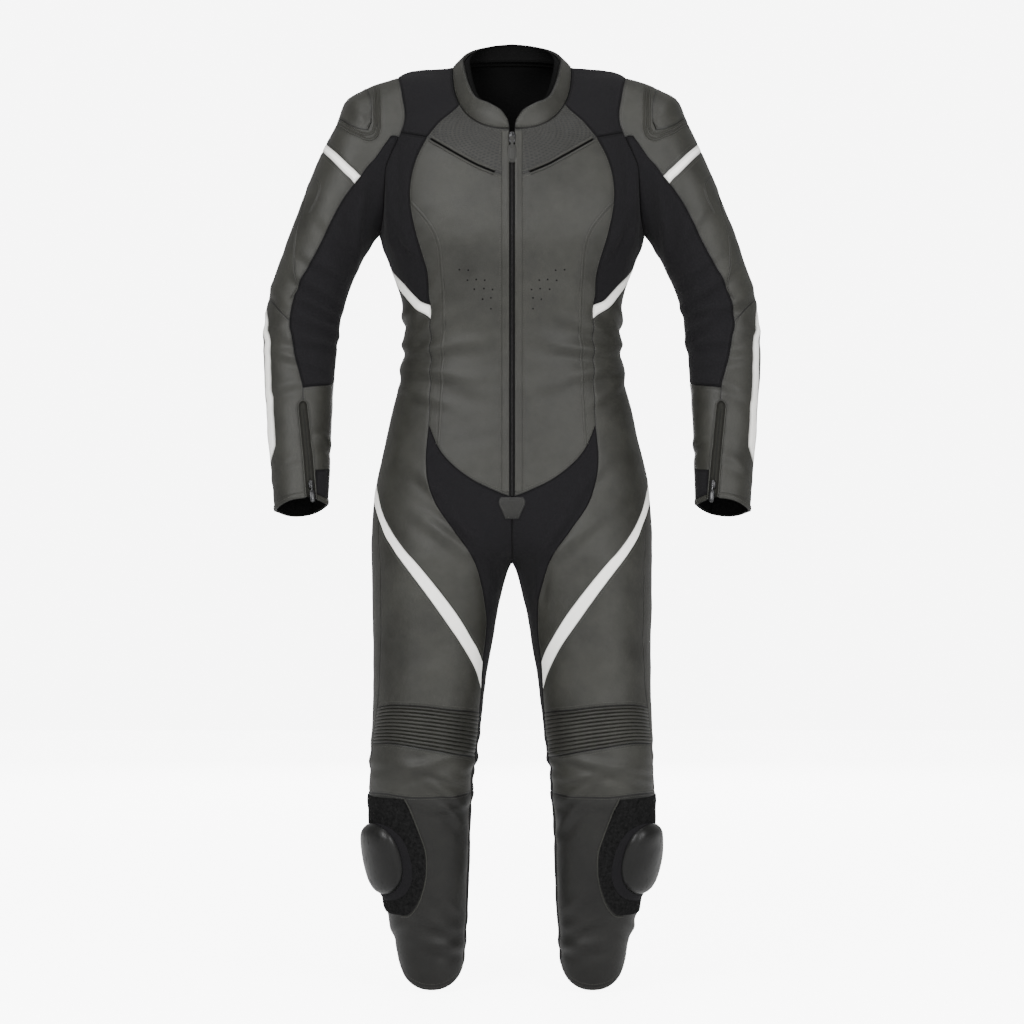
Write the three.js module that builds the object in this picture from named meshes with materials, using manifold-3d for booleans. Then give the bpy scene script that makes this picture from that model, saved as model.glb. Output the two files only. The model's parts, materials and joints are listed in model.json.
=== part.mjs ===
// One-piece motorcycle race suit of leather and stretch cloth, filled out as if worn, in millimetres.
// +Z is up, the front faces -Y and the wearer's left is +X.
// The origin is between the shoulders, level with the top of the shoulder line, where the wearer carries it.
//
// Two surfaces give the whole form. The body runs from the neck seam down one half of the torso and its leg,
// and the sleeve from the armhole to the cuff. Each is a stack of sections, and a point on it is found from
// s, the place between the sections, and turn, the angle around: 0 outer side, 90 front, 180 inner, -90 back.
// Seams are short lists of points in front view. Each panel is filled between four of them and given a wall.
import * as THREE from "three";
import { mergeVertices } from "three/addons/utils/BufferGeometryUtils.js";
import Module from "manifold-3d";

const wasm = await Module();
wasm.setup();

// Driving sizes
const WALL = 2.5; // leather or stretch cloth with its backing
const SEAM_GAP = 0.3; // between neighbouring pieces
const OVERLAY_LIFT = 0.55; // from a panel to what lies on it
const PATCH_LIFT = 1; // loop patches, on the sharply curved shin
const OVERLAY_WALL = 1.2;
const ZIP_HALF = 4; // half of the gap that the front zip fills
const COLLAR_WALL = 4.5; // padded stand collar
const LINING_WALL = 2;
const RIB_COUNT = 11; // pleats of each knee's stretch panel
const RIB_HEIGHT = 2.4;
const SIDES = [
  ["l", 1],
  ["r", -1],
];

const leather = { color: 0x3b3b37, roughness: 0.55, metalness: 0 };
const stretch = { color: 0x1b1b1e, roughness: 0.85, metalness: 0 };
const white = { color: 0xe9e8e2, roughness: 0.5, metalness: 0 };
const loop = { color: 0x0d0d0d, roughness: 1, metalness: 0 };
const plastic = { color: 0x242423, roughness: 0.4, metalness: 0 };
const metal = { color: 0x55565a, roughness: 0.35, metalness: 0.9 };

// Sections of the body, from the neck seam to the hem
// heights at the side, front and back; outer and inner edge; depth to the front and back of the mid line;
// power 2 is an ellipse and more is squarer; ease is how fast a tilted section leaves its side height
const BODY = [
  // side, frontZ, backZ, outer, inner, front, back, mid, power, ease
  [10, -88, 22, 86, -86, 92, 68, -3, 2.6, 0.8],
  [-6, -118, -10, 166, -166, 104, 86, -2, 2.5, 0.95],
  [-80, -158, -92, 189, -189, 113, 96, -2, 2.6, 1],
  [-165, -199, -170, 194, -194, 119, 100, -2, 2.75, 1],
  [-238, -238, -238, 191, -191, 121, 99, -2, 2.6, 1],
  [-275, -275, -275, 178, -178, 118, 96, -1, 2.4, 1],
  [-326, -326, -326, 161, -161, 107, 91, 0, 2.4, 1],
  [-380, -380, -380, 157, -157, 97, 88, 0, 2.35, 1],
  [-440, -440, -440, 163, -163, 95, 93, 0, 2.35, 1],
  [-510, -510, -510, 178, -178, 99, 108, 0, 2.35, 1],
  [-560, -560, -560, 190, -190, 103, 120, 0, 2.35, 1],
  [-606, -606, -606, 199, -199, 106, 126, 0, 2.35, 1],
  [-650, -650, -650, 202, -112, 107, 127, 0, 2.35, 1],
  [-688, -688, -688, 203, -34, 106, 124, 0, 2.3, 1],
  [-708, -708, -708, 203, 0, 105, 121, 0, 2.3, 1],
  [-760, -760, -760, 203, 17, 101, 111, -2, 2.25, 1],
  [-820, -820, -820, 201, 28, 96, 99, -6, 2.2, 1],
  [-880, -880, -880, 201, 38, 90, 87, -12, 2.2, 1],
  [-920, -920, -920, 202, 43, 86, 80, -17, 2.2, 1],
  [-965, -965, -965, 203, 48, 84, 74, -22, 2.2, 1],
  [-1010, -1010, -1010, 205, 54, 83, 69, -22, 2.2, 1],
  [-1045, -1045, -1045, 207, 56, 79, 68, -15, 2.2, 1],
  [-1090, -1090, -1090, 206, 60, 73, 71, -4, 2.2, 1],
  [-1140, -1140, -1140, 199, 61, 67, 71, 7, 2.2, 1],
  [-1195, -1195, -1195, 187, 63, 60, 66, 19, 2.2, 1],
  [-1250, -1250, -1250, 174, 67, 55, 58, 31, 2.2, 1],
  [-1283, -1326, -1272, 165, 69, 50, 50, 40, 2.2, 1],
];

// Sections of the sleeve, from the armhole to the cuff
// front-view points of the outer and inner edge, depth to the front and back of the mid line,
// and how far the section's front and back lie above its edges
const SLEEVE = [
  // outerX, outerZ, innerX, innerZ, front, back, mid, frontLift, backLift
  [166, -5, 193, -234, 64, 62, 0, 0, 0],
  [212, -22, 198, -240, 66, 64, -1, 0, 0],
  [244, -55, 203, -247, 68, 66, -2, 0, 0],
  [266, -95, 209, -257, 68, 67, -3, 0, 0],
  [288, -144, 217, -271, 67, 66, -4, 0, 0],
  [309, -197, 228, -294, 64, 64, -5, 0, 0],
  [331, -257, 239, -323, 61, 61, -7, 0, 0],
  [350, -316, 248, -356, 58, 58, -9, 1, -1],
  [359, -385, 253, -402, 56, 56, -13, 3, -3],
  [357, -445, 257, -450, 53, 53, -24, 7, -6],
  [352, -507, 260, -509, 49, 49, -40, 10, -9],
  [346, -570, 261, -568, 45, 45, -57, 12, -10],
  [340, -632, 262, -622, 41, 40, -74, 14, -12],
];
const SLEEVE_POWER = 2.3;

// How far the armhole bows towards the neck, by its angle
const ARMHOLE_BOW = [
  // turn, shift
  [0, 0],
  [25, -5],
  [46, -12],
  [68, -20],
  [84, -13],
  [96, -2],
  [111, -3],
  [134, -5],
  [160, -3],
  [180, 0],
];
const BACK_BOW = 0.45; // share of it that the plainer back has
const BOW_REACH = 1.2; // sections over which the bow fades out

// Top edge of the stand collar
const COLLAR_TOP = [
  // turn, x, y, z
  [90, 4, -93, -76],
  [81, 15, -92, -61],
  [68, 33, -87, -50],
  [52, 52, -75, -40],
  [35, 63, -54, -18],
  [15, 70, -24, 10],
  [-5, 71, 2, 24],
  [-30, 62, 28, 38],
  [-60, 36, 50, 48],
  [-90, 0, 57, 52],
];
const COLLAR_BULGE = 2.5;

// Splines
function catmull(a, b, c, d, t) {
  const linear = (c - a) * t;
  const square = (2 * a - 5 * b + 4 * c - d) * t * t;
  const cube = (3 * b - a - 3 * c + d) * t * t * t;
  return 0.5 * (2 * b + linear + square + cube);
}

// The row of a table at place s between its rows
function rowAt(table, s) {
  const last = table.length - 1;
  const i = Math.min(Math.max(Math.floor(s), 0), last - 1);
  const t = Math.min(Math.max(s - i, 0), 1);
  const [a, b, c, d] = [i - 1, i, i + 1, i + 2].map((k) => table[Math.min(Math.max(k, 0), last)]);
  return b.map((_, k) => catmull(a[k], b[k], c[k], d[k], t));
}

// The row of a table whose first column is an angle, at that angle
function rowByTurn(table, turn) {
  const falling = table[0][0] > table[1][0];
  const passed = table.findIndex((row) => (falling ? row[0] <= turn : row[0] >= turn));
  const i = passed < 0 ? table.length - 1 : Math.max(passed, 1);
  const t = (turn - table[i - 1][0]) / (table[i][0] - table[i - 1][0]);
  return rowAt(table, i - 1 + Math.min(Math.max(t, 0), 1));
}

const radians = (degrees) => (degrees * Math.PI) / 180;
const degrees = (angle) => (angle * 180) / Math.PI;
const signedPower = (v, power) => Math.sign(v) * Math.abs(v) ** power;

// Surfaces
function bodyAt(s, turn) {
  const [side, frontZ, backZ, outer, inner, front, back, mid, power, ease] = rowAt(BODY, s);
  const [c, f] = [Math.cos(radians(turn)), Math.sin(radians(turn))];
  const [depth, endZ] = f > 0 ? [front, frontZ] : [back, backZ];
  return new THREE.Vector3(
    (outer + inner) / 2 + ((outer - inner) / 2) * signedPower(c, 2 / power),
    mid - depth * signedPower(f, 2 / power),
    side + (endZ - side) * Math.abs(f) ** ease,
  );
}

function sleeveAt(s, turn) {
  const [outerX, outerZ, innerX, innerZ, front, back, mid, frontLift, backLift] = rowAt(SLEEVE, s);
  const [c, f] = [Math.cos(radians(turn)), Math.sin(radians(turn))];
  const reach = signedPower(c, 2 / SLEEVE_POWER);
  const own = wrapped(turn);
  const share = (own < 0 ? BACK_BOW : 1) * Math.max(0, 1 - s / BOW_REACH) ** 2;
  const bow = rowByTurn(ARMHOLE_BOW, Math.abs(own))[1] * share;
  return new THREE.Vector3(
    (outerX + innerX) / 2 + ((outerX - innerX) / 2) * reach + bow,
    mid - (f > 0 ? front : back) * signedPower(f, 2 / SLEEVE_POWER),
    (outerZ + innerZ) / 2 + ((outerZ - innerZ) / 2) * reach + (f > 0 ? frontLift : backLift) * f * f,
  );
}

// The collar stands on the neck seam, which is the body's first section
function collarAt(s, turn) {
  const foot = bodyAt(0, turn);
  const [, x, y, z] = rowByTurn(COLLAR_TOP, turn);
  const p = foot.lerp(new THREE.Vector3(x, y, z), s);
  const bulge = COLLAR_BULGE * Math.sin(Math.PI * s);
  return p.add(new THREE.Vector3(Math.cos(radians(turn)), -Math.sin(radians(turn)), 0).multiplyScalar(bulge));
}

// The direction that faces outwards at a point of a surface
function normalOf(surface, s, turn, lastS) {
  const [low, high] = [Math.max(s - 0.03, 0), Math.min(s + 0.03, lastS)];
  const around = surface(s, turn + 1).sub(surface(s, turn - 1));
  const down = surface(high, turn).sub(surface(low, turn));
  return around.cross(down).normalize();
}

const body = { at: bodyAt, last: BODY.length - 1 };
const sleeve = { at: sleeveAt, last: SLEEVE.length - 1 };
const collar = { at: collarAt, last: 1, flip: true };
for (const surface of [body, sleeve, collar]) {
  surface.normal = (s, turn) => normalOf(surface.at, s, turn, surface.last).multiplyScalar(surface.flip ? -1 : 1);
}

// Finding a point of a surface
function bisect(value, low, high) {
  const start = Math.sign(value(low));
  if (start === Math.sign(value(high))) return start < 0 ? low : high;
  for (let k = 0; k < 40; k++) {
    const middle = (low + high) / 2;
    if (Math.sign(value(middle)) === start) low = middle;
    else high = middle;
  }
  return (low + high) / 2;
}

const STEPS_TO_SETTLE = 30;

// A point of the body from its height and either its turn or its distance from the centre line
function onBody({ x, z, turn, back = false }) {
  let angle = turn ?? 60;
  let s = 0;
  for (let k = 0; k < STEPS_TO_SETTLE; k++) {
    const signed = turn === undefined && back ? -angle : angle;
    s = bisect((v) => bodyAt(v, signed).z - z, 0, body.last);
    if (turn !== undefined) break;
    const [, , , outer, inner, , , , power] = rowAt(BODY, s);
    const c = Math.min(Math.max((x - (outer + inner) / 2) / ((outer - inner) / 2), -1), 1);
    angle = (angle + degrees(Math.acos(signedPower(c, power / 2)))) / 2;
  }
  return { s, turn: turn ?? (back ? -angle : angle) };
}

// A point of the sleeve from its place in front view
function onSleeve({ x, z, back = false }) {
  let angle = 60;
  let s = 0;
  const target = new THREE.Vector2(x, z);
  for (let k = 0; k < STEPS_TO_SETTLE; k++) {
    const beside = (v) => {
      const [ox, oz, ix, iz] = rowAt(SLEEVE, v);
      const p = sleeveAt(v, angle);
      return (ox - ix) * (target.y - p.z) - (oz - iz) * (target.x - p.x);
    };
    s = bisect(beside, 0, sleeve.last);
    const [ox, oz, ix, iz] = rowAt(SLEEVE, s);
    const half = new THREE.Vector2((ox - ix) / 2, (oz - iz) / 2);
    const from = target.clone().sub(new THREE.Vector2((ox + ix) / 2, (oz + iz) / 2));
    const c = Math.min(Math.max(from.dot(half) / half.lengthSq(), -1), 1);
    angle = degrees(Math.acos(signedPower(c, SLEEVE_POWER / 2)));
  }
  return { s, turn: back ? -angle : angle };
}

// The place on the body nearest to a point, found on a grid that closes in
function nearestOnBody(p) {
  let best = { s: 2, turn: 0, far: Infinity };
  for (let s = 0.2; s < 5; s += 0.2) {
    for (let turn = -84; turn <= 84; turn += 6) {
      const far = bodyAt(s, turn).distanceTo(p);
      if (far < best.far) best = { s, turn, far };
    }
  }
  for (let step = 1; step > 0.001; step *= 0.7) {
    for (const [i, j] of [[1, 0], [-1, 0], [0, 1], [0, -1]]) {
      const [s, turn] = [Math.max(best.s + 0.2 * step * i, 0), best.turn + 6 * step * j];
      const far = bodyAt(s, turn).distanceTo(p);
      if (far < best.far) best = { s, turn, far };
    }
  }
  return { s: best.s, turn: best.turn };
}

// Seams
// A smooth line through places on a surface, with a point halfway between each two but for the `straight` ones
function trace(places, straight = []) {
  const rows = places.map((q) => [q.s, q.turn]);
  const marks = Array.from({ length: rows.length * 2 - 1 }, (_, k) => k / 2);
  return marks
    .filter((mark) => !straight.includes(mark - 0.5))
    .map((mark) => {
      const [s, turn] = rowAt(rows, mark);
      return { ...(Number.isInteger(mark) ? places[mark] : {}), s, turn, mark };
    });
}
const between = (line, from, to) => line.filter((q) => q.mark >= from && q.mark <= to);

const wrapped = (turn) => (turn > 180 ? turn - 360 : turn);
const reversed = (line) => [...line].reverse();
const chain = (...lines) => lines.flatMap((line, i) => (i ? line.slice(1) : line));
const turnedBy = (line, angle) => line.map((q) => ({ ...q, turn: q.turn + angle }));
const behind = (line) => line.map((q) => ({ ...q, turn: -q.turn }));
const level = (from, to, steps) =>
  Array.from({ length: steps + 1 }, (_, k) => ({
    s: from.s + ((to.s - from.s) * k) / steps,
    turn: from.turn + ((to.turn - from.turn) * k) / steps,
  }));

// Neck seam: shared by the collar, whose wall leans the other way, so both walls are mitred
const neckNormal = (turn) => body.normal(0, turn).add(collar.normal(0, turn)).normalize();
const onNeck = (turn) => ({ s: 0, turn, n: neckNormal(turn) });
const NECK_FRONT = degrees(Math.acos((ZIP_HALF / 86) ** 1.3));
const NECK_CHEST = 32;
const NECK_YOKE_BACK = -42;
const neckLine = (from, to, steps) => level(onNeck(from), onNeck(to), steps).map((q) => onNeck(q.turn));

// Armhole: the sleeve's first section, shared with the body
const ARMHOLE_YOKE = 78;
const ARMHOLE_STRETCH = 95;
function armholeNormal(turn) {
  return new THREE.Vector3(0.12, -Math.sin(radians(turn)), Math.cos(radians(turn))).normalize();
}
const onArmhole = (turn) => {
  const p = sleeveAt(0, turn);
  return { s: 0, turn, p, n: armholeNormal(turn), bodyPlace: nearestOnBody(p) };
};
const ARMHOLE_TURNS = [0, 20, 40, 60, ARMHOLE_YOKE, ARMHOLE_STRETCH, 112, 128, 144, 162, 180];
const armholeHalf = ARMHOLE_TURNS.map(onArmhole);
const armholeBack = ARMHOLE_TURNS.slice(1, -1).map((turn) => onArmhole(360 - turn));
const armhole = [...armholeHalf, ...reversed(armholeBack)];
const armholeArc = (from, to) => {
  const line = [];
  for (let k = from; k <= to; k++) line.push(armhole[(k + armhole.length) % armhole.length]);
  return line;
};
const YOKE_MARK = ARMHOLE_TURNS.indexOf(ARMHOLE_YOKE);
const STRETCH_MARK = ARMHOLE_TURNS.indexOf(ARMHOLE_STRETCH);
const ROUND = armhole.length;
const armholeOver = armholeArc(-STRETCH_MARK, STRETCH_MARK).map((q) => ({ ...q, turn: wrapped(q.turn) }));
const armholeUnder = armholeArc(STRETCH_MARK, ROUND - STRETCH_MARK);
const forBody = (line) => line.map((q) => ({ ...q, ...q.bodyPlace }));

// Body seams, front
const chestCorner = onBody({ x: 121, z: -99 });
const yokeArmhole = forBody([armhole[YOKE_MARK]])[0];
const yokeArmholeBack = forBody([armhole[ROUND - YOKE_MARK]])[0];
const yokeChest = trace([onNeck(NECK_CHEST), onBody({ x: 101, z: -74 }), chestCorner]);
const yokeSide = level(chestCorner, yokeArmhole, 3);
yokeSide[3] = yokeArmhole;
const frontEdge = trace([
  chestCorner,
  onBody({ x: 137, z: -131 }),
  onBody({ x: 145, z: -163 }),
  onBody({ x: 145, z: -195 }),
  onBody({ x: 137, z: -237 }),
  onBody({ x: 122, z: -289 }),
  onBody({ x: 117, z: -339 }),
  onBody({ x: 116, z: -358 }),
  onBody({ x: 117, z: -435 }),
  onBody({ x: 119, z: -510 }),
], [6]);
const FRONT_EDGE = { corner: 0, stripeTop: 6, stripeFoot: 7, crotch: 9 };
const frontCorner = onBody({ x: ZIP_HALF, z: -611 });
const frontFoot = trace([
  onBody({ x: 119, z: -510 }),
  onBody({ x: 104, z: -544 }),
  onBody({ x: 83, z: -568 }),
  onBody({ x: 54, z: -589 }),
  onBody({ x: 18, z: -606 }),
  frontCorner,
]);
const chestFoot = trace([
  chestCorner,
  onBody({ x: 92, z: -117 }),
  onBody({ x: 50, z: -141 }),
  onBody({ x: ZIP_HALF, z: -158 }),
]);
// The front opening, a line at a fixed distance from the centre
const openingTop = { ...onBody({ x: ZIP_HALF, z: -88 }), s: 0, turn: NECK_FRONT, n: neckNormal(NECK_FRONT) };
const atOpening = (z) => onBody({ x: ZIP_HALF, z });
const chestOpening = [openingTop, ...[-105, -130, -158].map(atOpening)];
const frontOpening = [-158, -190, -225, -260, -300, -340, -380, -425, -470, -515, -560]
  .map(atOpening)
  .concat(frontCorner);

// Torso stripe, from the front panel's edge round the side to the back seam
const stripeBackTop = onBody({ x: 143, z: -238, back: true });
const stripeBackFoot = onBody({ x: 138, z: -262, back: true });
const torsoStripeTop = trace([
  onBody({ x: 117, z: -339 }),
  onBody({ x: 135, z: -328 }),
  onBody({ x: 154, z: -308 }),
  onBody({ turn: 0, z: -279 }),
  stripeBackTop,
]);
const torsoStripeFoot = trace([
  onBody({ x: 116, z: -358 }),
  onBody({ x: 134, z: -345 }),
  onBody({ x: 151, z: -328 }),
  onBody({ turn: 0, z: -302 }),
  stripeBackFoot,
]);

// Body seams, back
const WAIST = -430;
const WAIST_CENTRE = -418;
const KNEE_BACK = -1036;
const BACK_TURN = -50;
const yokeBack = trace([onNeck(NECK_YOKE_BACK), onBody({ x: 112, z: -34, back: true }), yokeArmholeBack]);
const sideBack = trace([
  yokeArmholeBack,
  onBody({ x: 152, z: -130, back: true }),
  onBody({ x: 149, z: -185, back: true }),
  stripeBackTop,
  stripeBackFoot,
  onBody({ x: 124, z: -330, back: true }),
  onBody({ x: 118, z: -380, back: true }),
  onBody({ turn: BACK_TURN, z: WAIST }),
], [3]);
const SIDE_BACK = { armhole: 0, stripeTop: 3, stripeFoot: 4, waist: 7 };
const waistBack = level(onBody({ turn: -90, z: WAIST_CENTRE }), onBody({ turn: BACK_TURN, z: WAIST }), 4);
const hipBack = trace([
  onBody({ turn: BACK_TURN, z: WAIST }),
  onBody({ turn: BACK_TURN, z: -480 }),
  onBody({ turn: BACK_TURN, z: -530 }),
  onBody({ turn: BACK_TURN + 4, z: -560 }),
  onBody({ turn: BACK_TURN + 6, z: -590 }),
  onBody({ turn: BACK_TURN + 4, z: -660 }),
  onBody({ turn: BACK_TURN, z: -740 }),
  onBody({ turn: BACK_TURN, z: -830 }),
  onBody({ turn: BACK_TURN, z: -930 }),
  onBody({ turn: BACK_TURN, z: KNEE_BACK }),
], [3]);
const HIP_BACK = { waist: 0, stripeTop: 3, stripeFoot: 4, knee: 9 };

// Thigh stripe, from the hip seam round the side to the inner leg
const INNER_FRONT = 163;
const INNER_BACK = 198;
const stripeEndTop = onBody({ turn: 152, z: -848 });
const stripeEndFoot = onBody({ turn: 159, z: -889 });
const thighCorner = onBody({ turn: 23, z: -646 });
const thighStripeTop = trace([
  onBody({ turn: BACK_TURN + 4, z: -560 }),
  onBody({ turn: -15, z: -575 }),
  onBody({ turn: 12, z: -603 }),
  onBody({ x: 183, z: -641 }),
  onBody({ x: 152, z: -689 }),
  onBody({ x: 116, z: -729 }),
  onBody({ x: 83, z: -772 }),
  onBody({ x: 57, z: -806 }),
  stripeEndTop,
]);
const thighStripeFoot = trace([
  onBody({ turn: BACK_TURN + 6, z: -590 }),
  onBody({ turn: -15, z: -603 }),
  onBody({ turn: 10, z: -626 }),
  thighCorner,
  onBody({ x: 172, z: -684 }),
  onBody({ x: 142, z: -729 }),
  onBody({ x: 106, z: -775 }),
  onBody({ x: 76, z: -816 }),
  onBody({ x: 54, z: -862 }),
  stripeEndFoot,
]);
const STRIPE_FOOT = { back: 0, corner: 3, inner: 9 };

// Edge of the stretch crotch piece, from the belly down the front of the inner leg
const ribsInner = onBody({ turn: INNER_FRONT, z: -922 });
const crotchFront = trace([
  onBody({ x: 119, z: -510 }),
  onBody({ x: 123, z: -557 }),
  onBody({ x: 119, z: -594 }),
  onBody({ x: 108, z: -624 }),
  onBody({ x: 83, z: -660 }),
  onBody({ x: 57, z: -697 }),
  onBody({ x: 42, z: -740 }),
  onBody({ x: 36, z: -790 }),
  stripeEndTop,
  stripeEndFoot,
  ribsInner,
], [8]);
const CROTCH_FRONT = { top: 0, stripeTop: 8, stripeFoot: 9, ribs: 10 };
const crotchRow = BODY.findIndex((row) => row[4] === 0);

// The centre line at one height, where the half body meets its mirror image
function onCentre(z, back) {
  const s = bisect((v) => bodyAt(v, 0).z - z, 0, body.last);
  const [, , , outer, inner, , , , power] = rowAt(BODY, s);
  const c = -(outer + inner) / (outer - inner);
  const angle = Math.min(degrees(Math.acos(signedPower(Math.max(c, -1), power / 2))), 180);
  return { s, turn: back ? 360 - angle : angle };
}
// Its walls stand square to the line itself, so that the two halves meet flat
function centreSeam(places) {
  const points = places.map((q) => bodyAt(q.s, q.turn).setX(0));
  return places.map((q, i) => {
    const run = points[Math.min(i + 1, points.length - 1)].clone().sub(points[Math.max(i - 1, 0)]);
    return { ...q, p: points[i], n: new THREE.Vector3(0, run.z, -run.y).normalize() };
  });
}
const centreDown = [-612, -632, -652, -670, -684, -695, -702].map((z) => onCentre(z, false));
const centreUp = [-702, -693, -678, -655, -625, -585, -545, -505, -465, WAIST_CENTRE]
  .map((z) => onCentre(z, true));
const centreLine = centreSeam([...centreDown, { s: crotchRow, turn: 180 }, ...centreUp]);
const crotchCentre = centreLine.slice(0, centreDown.length + 1);
const seatCentre = reversed(centreLine.slice(centreDown.length));
const crotchBack = level(crotchCentre.at(-1), onBody({ turn: INNER_BACK, z: -922 }), 8);
crotchBack[0] = crotchCentre.at(-1);

// Leg seams
const ribsOuterTop = onBody({ turn: 27, z: -914 });
const ribsOuterFoot = onBody({ turn: 18, z: -966 });
const kneeOuterFoot = onBody({ turn: 12, z: KNEE_BACK });
const thighSide = trace([
  thighCorner,
  onBody({ x: 189, z: -706 }),
  onBody({ x: 188, z: -772 }),
  onBody({ x: 188, z: -839 }),
  ribsOuterTop,
  ribsOuterFoot,
  onBody({ turn: 14, z: -1000 }),
  kneeOuterFoot,
]);
const THIGH_SIDE = { top: 0, ribsTop: 4, ribsFoot: 5, knee: 7 };
const ribsTop = trace([
  ribsOuterTop,
  onBody({ x: 170, z: -909 }),
  onBody({ x: 130, z: -910 }),
  onBody({ x: 90, z: -915 }),
  ribsInner,
]);
const ribsFootInner = onBody({ turn: INNER_FRONT, z: -986 });
const ribsFoot = trace([
  ribsOuterFoot,
  onBody({ x: 172, z: -963 }),
  onBody({ x: 130, z: -969 }),
  onBody({ x: 87, z: -977 }),
  ribsFootInner,
]);
const kneeInnerFoot = onBody({ turn: INNER_FRONT, z: KNEE_BACK });
const kneeFoot = trace([
  kneeOuterFoot,
  onBody({ x: 178, z: -1036 }),
  onBody({ x: 140, z: -1040 }),
  onBody({ x: 95, z: -1040 }),
  kneeInnerFoot,
]);
const innerLine = (from, to, steps) => {
  const [a, b] = [onBody({ turn: INNER_FRONT, z: from }), onBody({ turn: INNER_FRONT, z: to })];
  return level(a, b, steps);
};
const ribsInnerSide = innerLine(-922, -986, 3);
const kneeInnerSide = innerLine(-986, KNEE_BACK, 2);
const OUTER_BACK = -42;
const shinBackTop = onBody({ turn: OUTER_BACK, z: KNEE_BACK });
const hem = (turn) => ({ s: body.last, turn });
const shinOuterSide = level(shinBackTop, hem(OUTER_BACK), 6);
const shinInnerSide = level(kneeInnerFoot, hem(INNER_FRONT), 6);
const kneeSideFoot = level(shinBackTop, kneeOuterFoot, 2);
const kneeBackOuter = level(onBody({ turn: BACK_TURN, z: KNEE_BACK }), shinBackTop, 1);
const kneeBackInner = level(kneeInnerFoot, onBody({ turn: INNER_BACK, z: KNEE_BACK }), 1);
const kneeBackMiddle = level(
  onBody({ turn: INNER_BACK, z: KNEE_BACK }),
  onBody({ turn: 360 + BACK_TURN, z: KNEE_BACK }),
  5,
);
const seatInnerSide = level(onBody({ turn: INNER_BACK, z: -922 }), onBody({ turn: INNER_BACK, z: KNEE_BACK }), 3);

// Sleeve seams
const bandInnerTop = onSleeve({ x: 216, z: -153 });
const bandInnerFoot = onSleeve({ x: 225, z: -164 });
const elbowCorner = onSleeve({ x: 318, z: -360 });
const wristCorner = onSleeve({ x: 298, z: -456 });
const armEdge = trace([
  armhole[STRETCH_MARK],
  bandInnerTop,
  bandInnerFoot,
  onSleeve({ x: 243, z: -189 }),
  onSleeve({ x: 276, z: -254 }),
  onSleeve({ x: 304, z: -305 }),
  elbowCorner,
  onSleeve({ x: 314, z: -385 }),
  onSleeve({ x: 305, z: -428 }),
  wristCorner,
], [1]);
const ARM_EDGE = { armhole: 0, bandTop: 1, bandFoot: 2, elbow: 6, wrist: 9 };
const armholeBackStart = { ...armhole[ROUND - STRETCH_MARK], turn: -ARMHOLE_STRETCH, mark: 0 };
const armEdgeBack = [armholeBackStart, ...behind(armEdge).slice(1)];
// A seam across the outer side of the sleeve, from the back edge to the front edge
const overArm = (front, middle) => {
  const half = trace([...middle, front]);
  return [...reversed(behind(half)), ...half.slice(1)];
};
const bandTop = overArm(bandInnerTop, [{ s: 3.22, turn: 0 }, onSleeve({ x: 250, z: -124 })]);
const bandFoot = overArm(bandInnerFoot, [{ s: 3.42, turn: 0 }, onSleeve({ x: 257, z: -135 })]);
const elbowLine = overArm(elbowCorner, [{ s: 7.15, turn: 0 }, onSleeve({ x: 340, z: -340 })]);
const stretchFront = trace([wristCorner, onSleeve({ x: 268, z: -452 }), { s: 8.95, turn: 180 }]);
const stretchFoot = [...stretchFront, ...reversed(turnedBy(behind(stretchFront), 360)).slice(1)];
const cuff = (turn) => ({ s: sleeve.last, turn });
const ZIP_CUFF = [101, 124];
const zipHeadOuter = onSleeve({ x: 305, z: -474 });
const zipHeadInner = { s: zipHeadOuter.s, turn: zipHeadOuter.turn + 15 };
const zipHead = { s: zipHeadOuter.s, turn: zipHeadOuter.turn + 7.5 };
const wristSeam = level(wristCorner, zipHead, 1);
const zipOuterSide = level(zipHeadOuter, cuff(ZIP_CUFF[0]), 6);
const zipInnerSide = level(zipHeadInner, cuff(ZIP_CUFF[1]), 6);
const CUFF_BACK = 250;
const wristSeamBack = level(armEdgeBack.at(-1), cuff(CUFF_BACK - 360), 6);

// Filling a panel
// Boundary points are shared with the neighbours; the inside is a grid on the surface
function lengthMarks(points) {
  const marks = [0];
  for (let i = 1; i < points.length; i++) marks.push(marks[i - 1] + points[i].distanceTo(points[i - 1]));
  return marks.map((m) => m / marks.at(-1));
}

function sideOf(surface, line) {
  const places = line.map((q) => {
    const own = surface.at(q.s, q.turn);
    const p = q.p ? q.p.clone() : own.clone();
    return { s: q.s, turn: q.turn, p, n: q.n ?? surface.normal(q.s, q.turn), shift: p.clone().sub(own) };
  });
  const marks = lengthMarks(places.map((q) => q.p));
  const at = (u) => {
    let i = 1;
    while (i < marks.length - 1 && marks[i] < u) i++;
    const t = (u - marks[i - 1]) / (marks[i] - marks[i - 1]);
    const [a, b] = [places[i - 1], places[i]];
    return [a.s + (b.s - a.s) * t, a.turn + (b.turn - a.turn) * t, ...a.shift.clone().lerp(b.shift, t)];
  };
  return { places, marks, at };
}

// Bilinear blend of the four sides, as Coons gives it
function blend(sides, u, v) {
  const [bottom, top] = [sides.bottom.at(u), sides.top.at(u)];
  const [left, right] = [sides.left.at(v), sides.right.at(v)];
  const [p00, p10, p01, p11] = [sides.bottom.at(0), sides.bottom.at(1), sides.top.at(0), sides.top.at(1)];
  return bottom.map((_, k) => {
    const corners = (1 - v) * ((1 - u) * p00[k] + u * p10[k]) + v * ((1 - u) * p01[k] + u * p11[k]);
    return (1 - v) * bottom[k] + v * top[k] + (1 - u) * left[k] + u * right[k] - corners;
  });
}

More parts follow.
